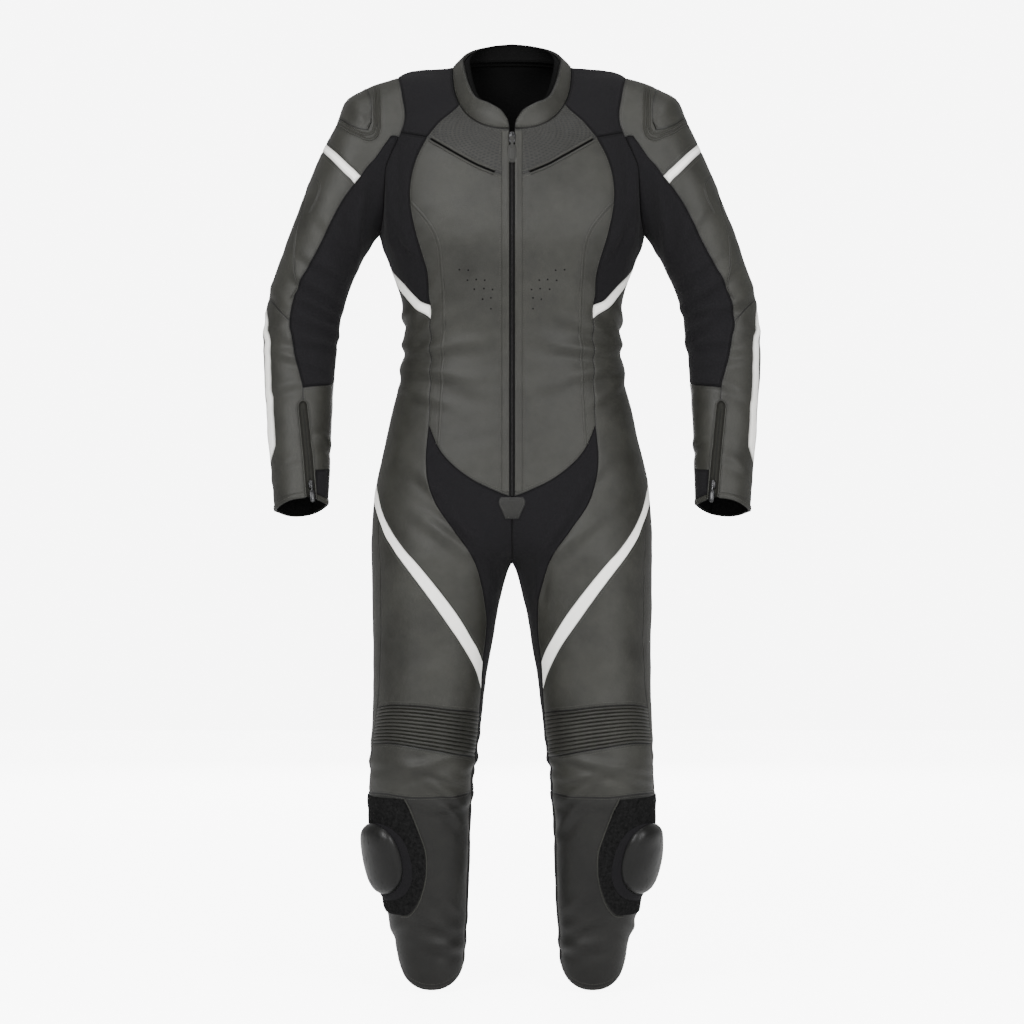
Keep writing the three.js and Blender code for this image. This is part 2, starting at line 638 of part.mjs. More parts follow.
// Triangles between an outer and an inner ring of vertices, each with its place round the unit square
function weave(outer, inner, faces) {
  let [i, j] = [0, 0];
  const next = (ring, k) => (k + 1 < ring.length ? ring[k + 1].at : 4 + ring[0].at);
  while (i < outer.length || j < inner.length) {
    const stepOuter = j >= inner.length || (i < outer.length && next(outer, i) <= next(inner, j));
    const [o, n] = [outer[i % outer.length], inner[j % inner.length]];
    if (stepOuter) faces.push([o.index, outer[(i + 1) % outer.length].index, n.index]);
    else faces.push([o.index, inner[(j + 1) % inner.length].index, n.index]);
    if (stepOuter) i++;
    else j++;
  }
}

// A wall between four seams. `raise` lifts the outer face only, `lift` moves the whole piece out,
// `rows` under 1 crowds the grid towards the last side, `margin` keeps it off the first and last side,
// and `even` is how often each inner point is moved to the middle of its neighbours
function panel(surface, options) {
  const { bottom, right, top, left, across, along, rows = 1, margin, even = 0 } = options;
  const { wall = WALL, lift = 0, raise, gap = SEAM_GAP } = options;
  const sides = {
    bottom: sideOf(surface, bottom),
    top: sideOf(surface, top),
    left: sideOf(surface, left),
    right: sideOf(surface, right),
  };
  const skin = [];
  const ring = [];
  const addSide = (side, offset, backwards) => {
    const order = side.places.map((q, i) => ({ q, mark: side.marks[i] }));
    if (backwards) order.reverse();
    order.slice(0, -1).forEach(({ q, mark }) => {
      ring.push({ index: skin.length, at: offset + (backwards ? 1 - mark : mark) });
      skin.push({ p: q.p.clone(), n: q.n.clone(), up: 0, place: [q.s, q.turn, ...q.shift] });
    });
  };
  addSide(sides.bottom, 0, false);
  addSide(sides.right, 1, false);
  addSide(sides.top, 2, true);
  addSide(sides.left, 3, true);

  const columns = Array.from({ length: across - 1 }, (_, i) => (i + 1) / across);
  const lines = Array.from({ length: along - 1 }, (_, j) =>
    margin ? margin + ((1 - 2 * margin) * j) / (along - 2) : ((j + 1) / along) ** rows,
  );
  const grid = columns.map((u) =>
    lines.map((v, j) => {
      skin.push({ place: blend(sides, u, v), up: raise ? raise(u, (j + 1) / along) : 0 });
      return skin.length - 1;
    }),
  );
  const faces = [];
  for (let i = 0; i < across - 2; i++) {
    for (let j = 0; j < along - 2; j++) {
      faces.push([grid[i][j], grid[i + 1][j], grid[i + 1][j + 1]]);
      faces.push([grid[i][j], grid[i + 1][j + 1], grid[i][j + 1]]);
    }
  }
  const [lastI, lastJ] = [across - 2, along - 2];
  const inner = [];
  for (let i = 0; i < lastI; i++) inner.push({ index: grid[i][0], at: i ? columns[i] : 0 });
  for (let j = 0; j < lastJ; j++) inner.push({ index: grid[lastI][j], at: 1 + (j ? lines[j] : 0) });
  for (let i = lastI; i > 0; i--) inner.push({ index: grid[i][lastJ], at: i < lastI ? 3 - columns[i] : 2 });
  for (let j = lastJ; j > 0; j--) inner.push({ index: grid[0][j], at: j < lastJ ? 4 - lines[j] : 3 });
  weave(ring, inner, faces);
  const inside = grid.flat();
  evenOut(skin, faces, inside, even);
  for (const index of inside) {
    const [s, turn, ...shift] = skin[index].place;
    skin[index].p = surface.at(s, turn).add(new THREE.Vector3(...shift));
    skin[index].n = surface.normal(s, turn);
  }
  return wallOf(skin, faces, ring.map((r) => r.index), { wall, lift, gap });
}

// Moves the given points of a skin to the middle of their neighbours, `times` over
function evenOut(skin, faces, inside, times) {
  const near = new Map(inside.map((index) => [index, new Set()]));
  for (const face of faces) for (const a of face) for (const b of face) if (a !== b) near.get(a)?.add(b);
  for (let k = 0; k < times; k++) {
    for (const [index, others] of near) {
      const places = [...others].map((other) => skin[other].place);
      skin[index].place = skin[index].place.map((_, i) => places.reduce((sum, q) => sum + q[i], 0) / places.length);
    }
  }
}

// A narrow strip between two long sides, with nothing inside it
function strip(surface, one, other, { wall = WALL, lift = 0, gap = SEAM_GAP } = {}) {
  const [a, b] = [sideOf(surface, one), sideOf(surface, other)];
  const skin = [...a.places, ...b.places].map((q) => ({ p: q.p.clone(), n: q.n.clone(), up: 0 }));
  const faces = [];
  let [i, j] = [0, 0];
  while (i < a.places.length - 1 || j < b.places.length - 1) {
    const [nextA, nextB] = [a.marks[i + 1] ?? Infinity, b.marks[j + 1] ?? Infinity];
    const first = a.places.length;
    if (nextA <= nextB) faces.push([i, i + 1, first + j]);
    else faces.push([i, first + j + 1, first + j]);
    if (nextA <= nextB) i++;
    else j++;
  }
  const ring = [...a.places.keys(), ...reversed([...b.places.keys()]).map((k) => a.places.length + k)];
  return wallOf(skin, faces, ring, { wall, lift, gap });
}

// Gives a skin its wall: the rim is drawn in by half the gap, then an inner copy is joined on along the rim
function wallOf(skin, faces, rim, { wall, lift, gap }) {
  const moved = rim.map((index, k) => {
    const before = skin[rim[(k + rim.length - 1) % rim.length]];
    const own = skin[index];
    const after = skin[rim[(k + 1) % rim.length]];
    const inward = [own.p.clone().sub(before.p), after.p.clone().sub(own.p)].map((run) =>
      own.n.clone().cross(run).normalize(),
    );
    const mitre = inward[0].clone().add(inward[1]).divideScalar(1 + Math.max(inward[0].dot(inward[1]), -0.6));
    return own.p.clone().addScaledVector(mitre, gap / 2);
  });
  const centred = facing(skin, faces);
  rim.forEach((index, k) => {
    if (centred < 0) moved[k].sub(skin[index].p).negate().add(skin[index].p);
  });
  rim.forEach((index, k) => {
    skin[index].p = moved[k];
  });
  const positions = [];
  for (const v of skin) positions.push(...v.p.clone().addScaledVector(v.n, lift + v.up));
  for (const v of skin) positions.push(...v.p.clone().addScaledVector(v.n, lift - wall));
  for (let i = 0; i < positions.length; i += 3) positions[i] = Math.max(positions[i], gap / 2);
  const count = skin.length;
  const triangles = [];
  for (const [a, b, c] of faces) triangles.push(a, b, c, count + a, count + c, count + b);
  rim.forEach((a, k) => triangles.push(...wallBetween(skin, a, rim[(k + 1) % rim.length], count)));
  return { positions, triangles, turned: centred < 0 };
}

// Two triangles of a rim; neighbours share the diagonal, from the outer side of the higher end
function wallBetween(skin, a, b, count) {
  const [p, q] = [skin[a].p, skin[b].p];
  const aHigher = Math.abs(p.z - q.z) > 0.5 ? p.z > q.z : p.y > q.y;
  return aHigher ? [a, count + a, count + b, a, count + b, b] : [a, count + a, b, b, count + a, count + b];
}

// 1 where the faces are wound with their normals, -1 where they are wound against them
function facing(skin, faces) {
  let sum = 0;
  for (const [a, b, c] of faces) {
    const cross = skin[b].p.clone().sub(skin[a].p).cross(skin[c].p.clone().sub(skin[a].p));
    sum += cross.dot(skin[a].n);
  }
  return Math.sign(sum);
}

// Geometry of a wall on the given side; x is turned over for the wearer's right
function geometryOf({ positions, triangles, turned }, side) {
  const points = positions.map((v, i) => (i % 3 === 0 ? v * side : v));
  const flip = turned !== side < 0;
  const order = flip ? triangles.map((_, i) => triangles[i - (i % 3) + [0, 2, 1][i % 3]]) : triangles;
  const geometry = new THREE.BufferGeometry();
  geometry.setAttribute("position", new THREE.Float32BufferAttribute(points, 3));
  geometry.setIndex(order);
  return geometry;
}

// Half a piece and its mirror image, joined on the centre plane
function bothHalves(half) {
  const [a, b] = [geometryOf(half, 1), geometryOf(half, -1)];
  const points = [...a.attributes.position.array, ...b.attributes.position.array];
  const shift = a.attributes.position.count;
  const geometry = new THREE.BufferGeometry();
  geometry.setAttribute("position", new THREE.Float32BufferAttribute(points, 3));
  geometry.setIndex([...a.index.array, ...Array.from(b.index.array, (i) => i + shift)]);
  return mergeVertices(geometry, 1e-4);
}

// Solids for cutting and joining
function solid(geometry) {
  const plain = geometry.clone();
  for (const name of Object.keys(plain.attributes)) if (name !== "position") plain.deleteAttribute(name);
  const merged = mergeVertices(plain, 1e-4);
  return new wasm.Manifold(
    new wasm.Mesh({
      numProp: 3,
      vertProperties: new Float32Array(merged.attributes.position.array),
      triVerts: new Uint32Array(merged.index.array),
    }),
  );
}

function geometryFrom(manifold) {
  const mesh = manifold.getMesh();
  const geometry = new THREE.BufferGeometry();
  geometry.setAttribute("position", new THREE.Float32BufferAttribute(Array.from(mesh.vertProperties), 3));
  geometry.setIndex(Array.from(mesh.triVerts));
  return geometry;
}

const suit = new THREE.Group();
suit.name = "race_suit";
function add(name, geometry, material, holder = suit) {
  const mesh = new THREE.Mesh(geometry, new THREE.MeshStandardMaterial(material));
  mesh.name = name;
  holder.add(mesh);
  return mesh;
}
function addPair(name, wall, material) {
  for (const [suffix, side] of SIDES) add(`${name}_${suffix}`, geometryOf(wall, side), material);
}

// Torso
addPair(
  "chest",
  panel(body, {
    bottom: neckLine(NECK_CHEST, NECK_FRONT, 6),
    right: chestOpening,
    top: chestFoot,
    left: yokeChest,
    across: 6,
    along: 4,
  }),
  leather,
);
addPair(
  "front",
  panel(body, {
    bottom: chestFoot,
    right: frontOpening,
    top: frontFoot,
    left: frontEdge,
    across: 5,
    along: 14,
  }),
  leather,
);
const yokeArc = forBody(armholeArc(-YOKE_MARK, YOKE_MARK));
addPair(
  "yoke",
  panel(body, {
    bottom: neckLine(NECK_YOKE_BACK, NECK_CHEST, 6),
    right: chain(yokeChest, yokeSide),
    top: yokeArc,
    left: yokeBack,
    across: 8,
    along: 5,
  }),
  stretch,
);
const sideArc = reversed(forBody(armholeArc(YOKE_MARK, ROUND - YOKE_MARK)));
addPair(
  "side",
  panel(body, {
    bottom: chain(sideArc, reversed(yokeSide)),
    right: between(frontEdge, FRONT_EDGE.corner, FRONT_EDGE.stripeTop),
    top: reversed(torsoStripeTop),
    left: between(sideBack, SIDE_BACK.armhole, SIDE_BACK.stripeTop),
    across: 9,
    along: 6,
    rows: 0.62,
  }),
  stretch,
);
addPair("torso_stripe", strip(body, torsoStripeTop, torsoStripeFoot), white);
addPair(
  "flank",
  panel(body, {
    bottom: reversed(torsoStripeFoot),
    right: chain(
      between(frontEdge, FRONT_EDGE.stripeFoot, FRONT_EDGE.crotch),
      between(crotchFront, CROTCH_FRONT.top, CROTCH_FRONT.stripeTop),
    ),
    top: thighStripeTop,
    left: chain(
      between(sideBack, SIDE_BACK.stripeFoot, SIDE_BACK.waist),
      between(hipBack, HIP_BACK.waist, HIP_BACK.stripeTop),
    ),
    across: 8,
    along: 11,
    even: 1,
  }),
  leather,
);
const backHalf = panel(body, {
  bottom: neckLine(-90, NECK_YOKE_BACK, 4),
  right: chain(yokeBack, sideBack),
  top: waistBack,
  left: level(onNeck(-90), onBody({ turn: -90, z: WAIST_CENTRE }), 9).map((q, i) => ({
    ...q,
    n: i ? undefined : neckNormal(-90),
    p: bodyAt(q.s, -90).setX(0),
  })),
  across: 5,
  along: 10,
  gap: SEAM_GAP,
});
add("back", bothHalves(centreOpened(backHalf)), leather);

// Draws a half piece's centre rim back onto the mirror plane and opens its wall there
function centreOpened({ positions, triangles, turned }) {
  const near = 1.5 * SEAM_GAP;
  const points = positions.map((v, i) => (i % 3 === 0 && v < near ? 0 : v));
  const atCentre = (index) => points[3 * index] === 0;
  const kept = [];
  for (let i = 0; i < triangles.length; i += 3) {
    const three = triangles.slice(i, i + 3);
    if (!three.every(atCentre)) kept.push(...three);
  }
  return { positions: points, triangles: kept, turned };
}

// Crotch, seat and legs
addPair(
  "crotch",
  panel(body, {
    bottom: [...frontFoot, crotchCentre[0]],
    right: chain(crotchCentre, crotchBack, seatInnerSide),
    top: kneeBackInner,
    left: chain(crotchFront, ribsInnerSide, kneeInnerSide),
    across: 5,
    along: 14,
  }),
  stretch,
);
const backWaist = turnedBy(waistBack, 360);
addPair(
  "seat",
  panel(body, {
    bottom: [seatCentre[0], ...backWaist.slice(1)],
    right: turnedBy(hipBack, 360),
    top: kneeBackMiddle,
    left: chain(seatCentre, crotchBack, seatInnerSide),
    across: 6,
    along: 13,
  }),
  leather,
);
addPair("thigh_stripe", strip(body, thighStripeTop, thighStripeFoot), white);
addPair(
  "thigh",
  panel(body, {
    bottom: between(thighStripeFoot, STRIPE_FOOT.corner, STRIPE_FOOT.inner),
    right: between(crotchFront, CROTCH_FRONT.stripeFoot, CROTCH_FRONT.ribs),
    top: ribsTop,
    left: between(thighSide, THIGH_SIDE.top, THIGH_SIDE.ribsTop),
    across: 7,
    along: 7,
    rows: 0.8,
  }),
  leather,
);
addPair(
  "thigh_side",
  panel(body, {
    bottom: between(thighStripeFoot, STRIPE_FOOT.back, STRIPE_FOOT.corner),
    right: thighSide,
    top: chain(kneeBackOuter, kneeSideFoot),
    left: between(hipBack, HIP_BACK.stripeFoot, HIP_BACK.knee),
    across: 5,
    along: 10,
  }),
  leather,
);
const ROWS_PER_RIB = 3;
addPair(
  "knee_ribs",
  panel(body, {
    bottom: ribsTop,
    right: ribsInnerSide,
    top: ribsFoot,
    left: between(thighSide, THIGH_SIDE.ribsTop, THIGH_SIDE.ribsFoot),
    across: 6,
    along: RIB_COUNT * ROWS_PER_RIB,
    margin: 0.075,
    raise: (u, v) => RIB_HEIGHT * Math.sin(Math.PI * ((v * RIB_COUNT) % 1)) ** 2 * Math.sin(Math.PI * u) ** 0.5,
  }),
  stretch,
);
addPair(
  "knee",
  panel(body, {
    bottom: ribsFoot,
    right: kneeInnerSide,
    top: kneeFoot,
    left: between(thighSide, THIGH_SIDE.ribsFoot, THIGH_SIDE.knee),
    across: 7,
    along: 4,
  }),
  leather,
);
addPair(
  "shin",
  panel(body, {
    bottom: chain(kneeSideFoot, kneeFoot),
    right: shinInnerSide,
    top: level(hem(OUTER_BACK), hem(INNER_FRONT), 12),
    left: shinOuterSide,
    across: 10,
    along: 8,
  }),
  leather,
);
addPair(
  "calf",
  panel(body, {
    bottom: chain(kneeBackInner, kneeBackMiddle, turnedBy(kneeBackOuter, 360)),
    right: turnedBy(shinOuterSide, 360),
    top: level(hem(INNER_FRONT), hem(360 + OUTER_BACK), 9),
    left: shinInnerSide,
    across: 8,
    along: 8,
  }),
  stretch,
);

// Sleeves
addPair(
  "shoulder",
  panel(sleeve, {
    bottom: armholeOver,
    right: between(armEdge, ARM_EDGE.armhole, ARM_EDGE.bandTop),
    top: bandTop,
    left: between(armEdgeBack, ARM_EDGE.armhole, ARM_EDGE.bandTop),
    across: 10,
    along: 6,
  }),
  leather,
);
addPair("arm_band", strip(sleeve, bandTop, bandFoot), white);
addPair(
  "upper_arm",
  panel(sleeve, {
    bottom: bandFoot,
    right: between(armEdge, ARM_EDGE.bandFoot, ARM_EDGE.elbow),
    top: elbowLine,
    left: between(armEdgeBack, ARM_EDGE.bandFoot, ARM_EDGE.elbow),
    across: 8,
    along: 8,
  }),
  leather,
);
addPair(
  "forearm",
  panel(sleeve, {
    bottom: elbowLine,
    right: chain(between(armEdge, ARM_EDGE.elbow, ARM_EDGE.wrist), wristSeam, [zipHead, ...zipOuterSide]),
    top: level(cuff(CUFF_BACK - 360), cuff(ZIP_CUFF[0]), 12),
    left: chain(between(armEdgeBack, ARM_EDGE.elbow, ARM_EDGE.wrist), wristSeamBack),
    across: 8,
    along: 9,
  }),
  leather,
);
addPair(
  "arm_stretch",
  panel(sleeve, {
    bottom: armholeUnder,
    right: turnedBy(armEdgeBack, 360),
    top: stretchFoot,
    left: armEdge,
    across: 7,
    along: 11,
  }),
  stretch,
);
addPair(
  "wrist",
  panel(sleeve, {
    bottom: stretchFoot,
    right: turnedBy(wristSeamBack, 360),
    top: level(cuff(ZIP_CUFF[1]), cuff(CUFF_BACK), 8),
    left: chain(wristSeam, [zipHead, ...zipInnerSide]),
    across: 4,
    along: 10,
    rows: 1.2,
  }),
  stretch,
);

// Stand collar and its lining, each in one piece round the back
const collarEnd = level({ s: 0, turn: NECK_FRONT }, { s: 1, turn: NECK_FRONT }, 3);
const collarBackEnd = level({ s: 0, turn: -90 }, { s: 1, turn: -90 }, 3);
const neckHalf = chain(
  neckLine(NECK_FRONT, NECK_CHEST, 6),
  neckLine(NECK_CHEST, NECK_YOKE_BACK, 6),
  neckLine(NECK_YOKE_BACK, -90, 4),
);
const collarHalf = panel(collar, {
  bottom: neckHalf,
  right: collarBackEnd,
  top: neckHalf.map((q) => ({ s: 1, turn: q.turn })),
  left: collarEnd,
  across: 12,
  along: 3,
  wall: COLLAR_WALL,
});
add("collar", bothHalves(centreOpened(collarHalf)), leather);
// The lining stands inside the collar, moved in level towards the neck's middle
const LINING_INSET = 10;
const levelOut = (turn) => new THREE.Vector3(Math.cos(radians(turn)), -Math.sin(radians(turn)), 0);
const lining = {
  at: (s, turn) => collarAt(0.12 + 0.86 * s, turn).addScaledVector(levelOut(turn), -LINING_INSET),
  normal: (s, turn) => levelOut(turn),
};
const liningEdge = (s) => neckHalf.map((q) => ({ s, turn: q.turn }));
const liningHalf = panel(lining, {
  bottom: liningEdge(0),
  right: collarBackEnd,
  top: liningEdge(1),
  left: collarEnd,
  across: 16,
  along: 2,
  wall: LINING_WALL,
});
add("collar_lining", bothHalves(centreOpened(liningHalf)), stretch);

// Pieces that lie on a panel, each with its own outline
const ARM_STRIPE_INNER = [
  // x, z
  [348.5, -355],
  [345, -401],
  [344.5, -438],
  [336.5, -526],
  [338, -543],
  [343.5, -558],
];
const ARM_STRIPE_OUTER = [
  [353.5, -354],
  [354, -400],
  [353.5, -438],
  [351.5, -501],
  [348.5, -535],
  [345.5, -559],
];
const onArm = ([x, z]) => onSleeve({ x, z });
const [stripeOuter, stripeInner] = [ARM_STRIPE_OUTER, ARM_STRIPE_INNER].map((rows) => trace(rows.map(onArm)));
addPair(
  "arm_stripe",
  panel(sleeve, {
    bottom: level(stripeOuter[0], stripeInner[0], 3),
    right: stripeInner,
    top: level(stripeOuter.at(-1), stripeInner.at(-1), 2),
    left: stripeOuter,
    across: 3,
    along: 9,
    even: 1,
    wall: OVERLAY_WALL,
    lift: OVERLAY_LIFT + OVERLAY_WALL,
  }),
  white,
);

// A round or oval piece on a surface: rings of a height profile about a centre
function mound(surface, { centre, across, along, profile, lift = OVERLAY_LIFT, sides = 20, square = 2 }) {
  const { s, turn } = centre;
  const perTurn = surface.at(s, turn + 1).distanceTo(surface.at(s, turn - 1)) / 2;
  const perRow = surface.at(s + 0.1, turn).distanceTo(surface.at(s - 0.1, turn)) / 0.2;
  const place = (r, k) => {
    const a = (2 * Math.PI * k) / sides;
    const du = signedPower(Math.cos(a), 2 / square) * r * across;
    const dv = signedPower(Math.sin(a), 2 / square) * r * along;
    return { s: s + dv / perRow, turn: turn + du / perTurn };
  };
  const skin = [];
  const addPoint = (q, height) => {
    skin.push({ p: surface.at(q.s, q.turn), n: surface.normal(q.s, q.turn), height });
  };
  addPoint(centre, profile[0][1]);
  for (const [r, height] of profile.slice(1)) for (let k = 0; k < sides; k++) addPoint(place(r, k), height);
  const rings = profile.length - 1;
  const count = skin.length;
  const faces = [];
  const at = (ring, k) => 1 + ring * sides + (k % sides);
  for (let k = 0; k < sides; k++) {
    faces.push([0, at(0, k), at(0, k + 1)]);
    for (let ring = 0; ring < rings - 1; ring++) {
      faces.push([at(ring, k), at(ring + 1, k), at(ring + 1, k + 1)]);
      faces.push([at(ring, k), at(ring + 1, k + 1), at(ring, k + 1)]);
    }
  }
  const positions = [];
  for (const v of skin) positions.push(...v.p.clone().addScaledVector(v.n, lift + v.height));
  for (const v of skin) positions.push(...v.p.clone().addScaledVector(v.n, lift));
  const triangles = [];
  for (const [a, b, c] of faces) triangles.push(a, b, c, count + a, count + c, count + b);
  for (let k = 0; k < sides; k++) {
    const [a, b] = [at(rings - 1, k), at(rings - 1, k + 1)];
    triangles.push(a, count + a, b, b, count + a, count + b);
  }
  return { positions, triangles, turned: facing(skin, faces) < 0 };
}

addPair(
  "shoulder_cup",
  mound(sleeve, {
    centre: { s: 1.95, turn: 14 },
    across: 50,
    along: 44,
    profile: [
      // share of the radius, height
      [0, 6.5],
      [0.3, 6.4],
      [0.6, 5.8],
      [0.87, 4.4],
      [1, 2],
    ],
    lift: 0.9,
    square: 2.4,
  }),
  leather,
);
addPair(
  "loop_patch",
  mound(body, {
    centre: onBody({ turn: 27, z: -1131 }),
    across: 62,
    along: 86,
    profile: [
      [0, 1.6],
      [0.25, 1.6],
      [0.5, 1.6],
      [0.76, 1.6],
      [1, 1.4],
    ],
    lift: PATCH_LIFT,
    square: 2.3,
  }),
  loop,
);
addPair(
  "knee_slider",
  mound(body, {
    centre: onBody({ turn: 24, z: -1142 }),
    across: 43,
    along: 58,
    profile: [
      [0, 17],
      [0.35, 16.4],
      [0.65, 14.2],
      [0.86, 9],
      [0.9, 4.5],
      [1, 3.6],
    ],
    lift: PATCH_LIFT + 1.6 + 0.8,
    square: 2.4,
  }),
  plastic,
);

// Plate sewn over the foot of the front zip
const plateCentre = centreSeam([-614, -624, -634, -643].map((z) => onCentre(z, false)));
const plateCorner = (x, z) => onBody({ x, z });
const plate = panel(body, {
  bottom: [plateCentre[0], plateCorner(10, -614)],
  right: [plateCorner(10, -614), plateCorner(17.5, -628), plateCorner(10, -643)],
  top: [plateCentre[3], plateCorner(10, -643)],
  left: plateCentre,
  across: 2,
  along: 3,
  wall: OVERLAY_WALL,
  lift: OVERLAY_LIFT + OVERLAY_WALL,
});
add("zip_tab", bothHalves(centreOpened(plate)), leather);

// Zips: a tape in the gap between two panels, with a slider fixed on it and a pull that turns on the slider
const SLIDER = { width: 9, thick: 2.4, long: 12, off: 0.7, root: 5 };
const LUG = { width: 1.3, inside: 2.7, high: 6.2, long: 4.4, along: -1.5 };
const PIN = { radius: 0.75, hole: 1.1, barrel: 1.5, barrelHalf: 2.3, height: 4.6 };
const ROUND_SIDES = 10;
function boxOf([x, y, z], centre) {
  return solid(new THREE.BoxGeometry(x, y, z).translate(...centre));
}
function rod(radius, half, [y, z]) {
  const geometry = new THREE.CylinderGeometry(radius, radius, 2 * half, ROUND_SIDES).rotateZ(Math.PI / 2);
  return solid(geometry.translate(0, y, z));
}
const joined = (parts) => parts.reduce((whole, part) => whole.add(part));

// Axes of a slider: x across the zip, y out from it, z up along it
function sliderAt(surface, q, above) {
  const out = surface.normal(q.s, q.turn);
  const origin = surface.at(q.s, q.turn);
  const up = surface.at(above.s, above.turn).sub(origin);
  up.addScaledVector(out, -up.dot(out)).normalize();
  return new THREE.Matrix4().makeBasis(out.clone().cross(up), out, up).setPosition(origin);
}
// The same on the wearer's right: a slider and its pull are symmetric, so its frame only turns over
function mirroredFrame(frame) {
  const [x, y, z] = [0, 1, 2].map((k) => new THREE.Vector3().setFromMatrixColumn(frame, k));
  const origin = new THREE.Vector3().setFromMatrixPosition(frame);
  for (const v of [y, z, origin]) v.x *= -1;
  x.set(x.x, -x.y, -x.z);
  return new THREE.Matrix4().makeBasis(x, y, z).setPosition(origin);
}
function sliderSolid() {
  const plateBody = boxOf([SLIDER.width, SLIDER.thick, SLIDER.long], [0, SLIDER.thick / 2 + SLIDER.off, 0]);
  const root = boxOf([SLIDER.root, 2.4, SLIDER.long - 2], [0, 0, 0]);
  const lugX = LUG.inside + LUG.width / 2;
  const lugSize = [LUG.width, LUG.high - 1, LUG.long];
  const lugs = [-1, 1].map((side) => boxOf(lugSize, [side * lugX, (LUG.high + 1) / 2, LUG.along]));
  return joined([plateBody, root, ...lugs]).subtract(rod(PIN.hole, 6, [PIN.height, LUG.along]));
}
function pullSolid(long, width) {
  const pin = rod(PIN.radius, LUG.inside + LUG.width, [PIN.height, LUG.along]);
  const barrel = rod(PIN.barrel, PIN.barrelHalf, [PIN.height, LUG.along]);
  const neck = boxOf([2 * PIN.barrelHalf - 0.6, 1.4, 7], [0, PIN.height, LUG.along - 3.5]);
  const tab = boxOf([width, 1.8, long - 6], [0, PIN.height, LUG.along - 6 - (long - 6) / 2]);
  return geometryFrom(joined([pin, barrel, neck, tab]));
}
function zipSolid(tape, frame) {
  return geometryFrom(solid(tape).add(solid(geometryFrom(sliderSolid()).applyMatrix4(frame))));
}

function zipCentre() {
  const heights = [...chestOpening.slice(1), ...frontOpening.slice(1)].map((q) => bodyAt(q.s, q.turn).z);
  const top = { s: 0, turn: 90, n: neckNormal(90) };
  return [top, ...heights.map((z) => onBody({ turn: 90, z }))].map((q) => ({ ...q, p: bodyAt(q.s, q.turn).setX(0) }));
}
const mainTape = bothHalves(centreOpened(strip(body, [...chestOpening, ...frontOpening.slice(1)], zipCentre())));
const mainSlider = sliderAt(body, onBody({ turn: 90, z: -102 }), onBody({ turn: 90, z: -94 }));
add("zip", zipSolid(mainTape, mainSlider), metal);
add("pull", pullSolid(34, 7), metal).applyMatrix4(mainSlider);

// Each cuff zip starts just below the seam that meets it
const lowered = ([first, ...rest]) => [{ ...first, s: first.s + 0.012 }, ...rest];
const cuffTape = strip(sleeve, lowered(zipOuterSide), lowered(zipInnerSide));
const cuffMiddle = (k) => ({
  s: (zipOuterSide[k].s + zipInnerSide[k].s) / 2,
  turn: (zipOuterSide[k].turn + zipInnerSide[k].turn) / 2,
});
const cuffSlider = sliderAt(sleeve, cuffMiddle(5), cuffMiddle(4));
for (const [suffix, side] of SIDES) {
  const frame = side > 0 ? cuffSlider : mirroredFrame(cuffSlider);
  add(`cuff_zip_${suffix}`, zipSolid(geometryOf(cuffTape, side), frame), metal);
  add(`cuff_pull_${suffix}`, pullSolid(24, 6), metal).applyMatrix4(frame);
}

export default suit;
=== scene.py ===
"""Looks of a one-piece motorcycle race suit of leather and stretch cloth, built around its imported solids.

Sizes are in millimetres while a shape is worked out and in metres in its mesh. +Z is up, the front faces -Y
and the wearer's left is +X. The body, the sleeve and the collar are surfaces of two parameters: s runs down
their sections and turn goes round them, with 0 at the outer side, 90 in front, 180 inside and -90 behind.
Every panel is a grid on one of them between four seams, so neighbours meet along the same line.
"""
import json
import math

import bpy
import numpy as np
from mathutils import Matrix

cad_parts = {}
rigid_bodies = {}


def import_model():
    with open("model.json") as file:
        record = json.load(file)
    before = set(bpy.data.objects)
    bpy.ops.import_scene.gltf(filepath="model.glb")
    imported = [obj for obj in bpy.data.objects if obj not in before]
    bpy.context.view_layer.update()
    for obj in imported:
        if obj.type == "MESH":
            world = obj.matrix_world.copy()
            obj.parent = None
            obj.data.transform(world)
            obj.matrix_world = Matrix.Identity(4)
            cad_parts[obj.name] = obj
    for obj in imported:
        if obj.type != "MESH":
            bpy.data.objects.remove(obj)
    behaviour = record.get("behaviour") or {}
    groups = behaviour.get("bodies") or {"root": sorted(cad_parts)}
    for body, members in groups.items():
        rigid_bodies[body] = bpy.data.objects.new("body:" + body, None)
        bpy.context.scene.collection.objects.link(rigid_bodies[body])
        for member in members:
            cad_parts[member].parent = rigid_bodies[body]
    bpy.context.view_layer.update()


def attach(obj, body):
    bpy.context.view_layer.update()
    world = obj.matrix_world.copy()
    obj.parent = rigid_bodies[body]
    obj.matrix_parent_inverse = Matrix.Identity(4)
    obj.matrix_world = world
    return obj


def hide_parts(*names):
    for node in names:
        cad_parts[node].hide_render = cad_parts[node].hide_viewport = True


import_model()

MM = 0.001
WALL = 2.5  # leather or stretch cloth with its backing
COLLAR_WALL = 4.5
LINING_WALL = 2.0
ZIP_HALF = 4.0
RIB_COUNT = 11
RIB_HEIGHT = 3.0
STEP = 4.5  # usual width of a grid cell
FINE_STEP = 3.2
SPAN_POINTS = 10  # points of a seam between two of its given places
ROW_RUN = 45.0  # usual distance between two sections
SIDES = (("l", 1), ("r", -1))

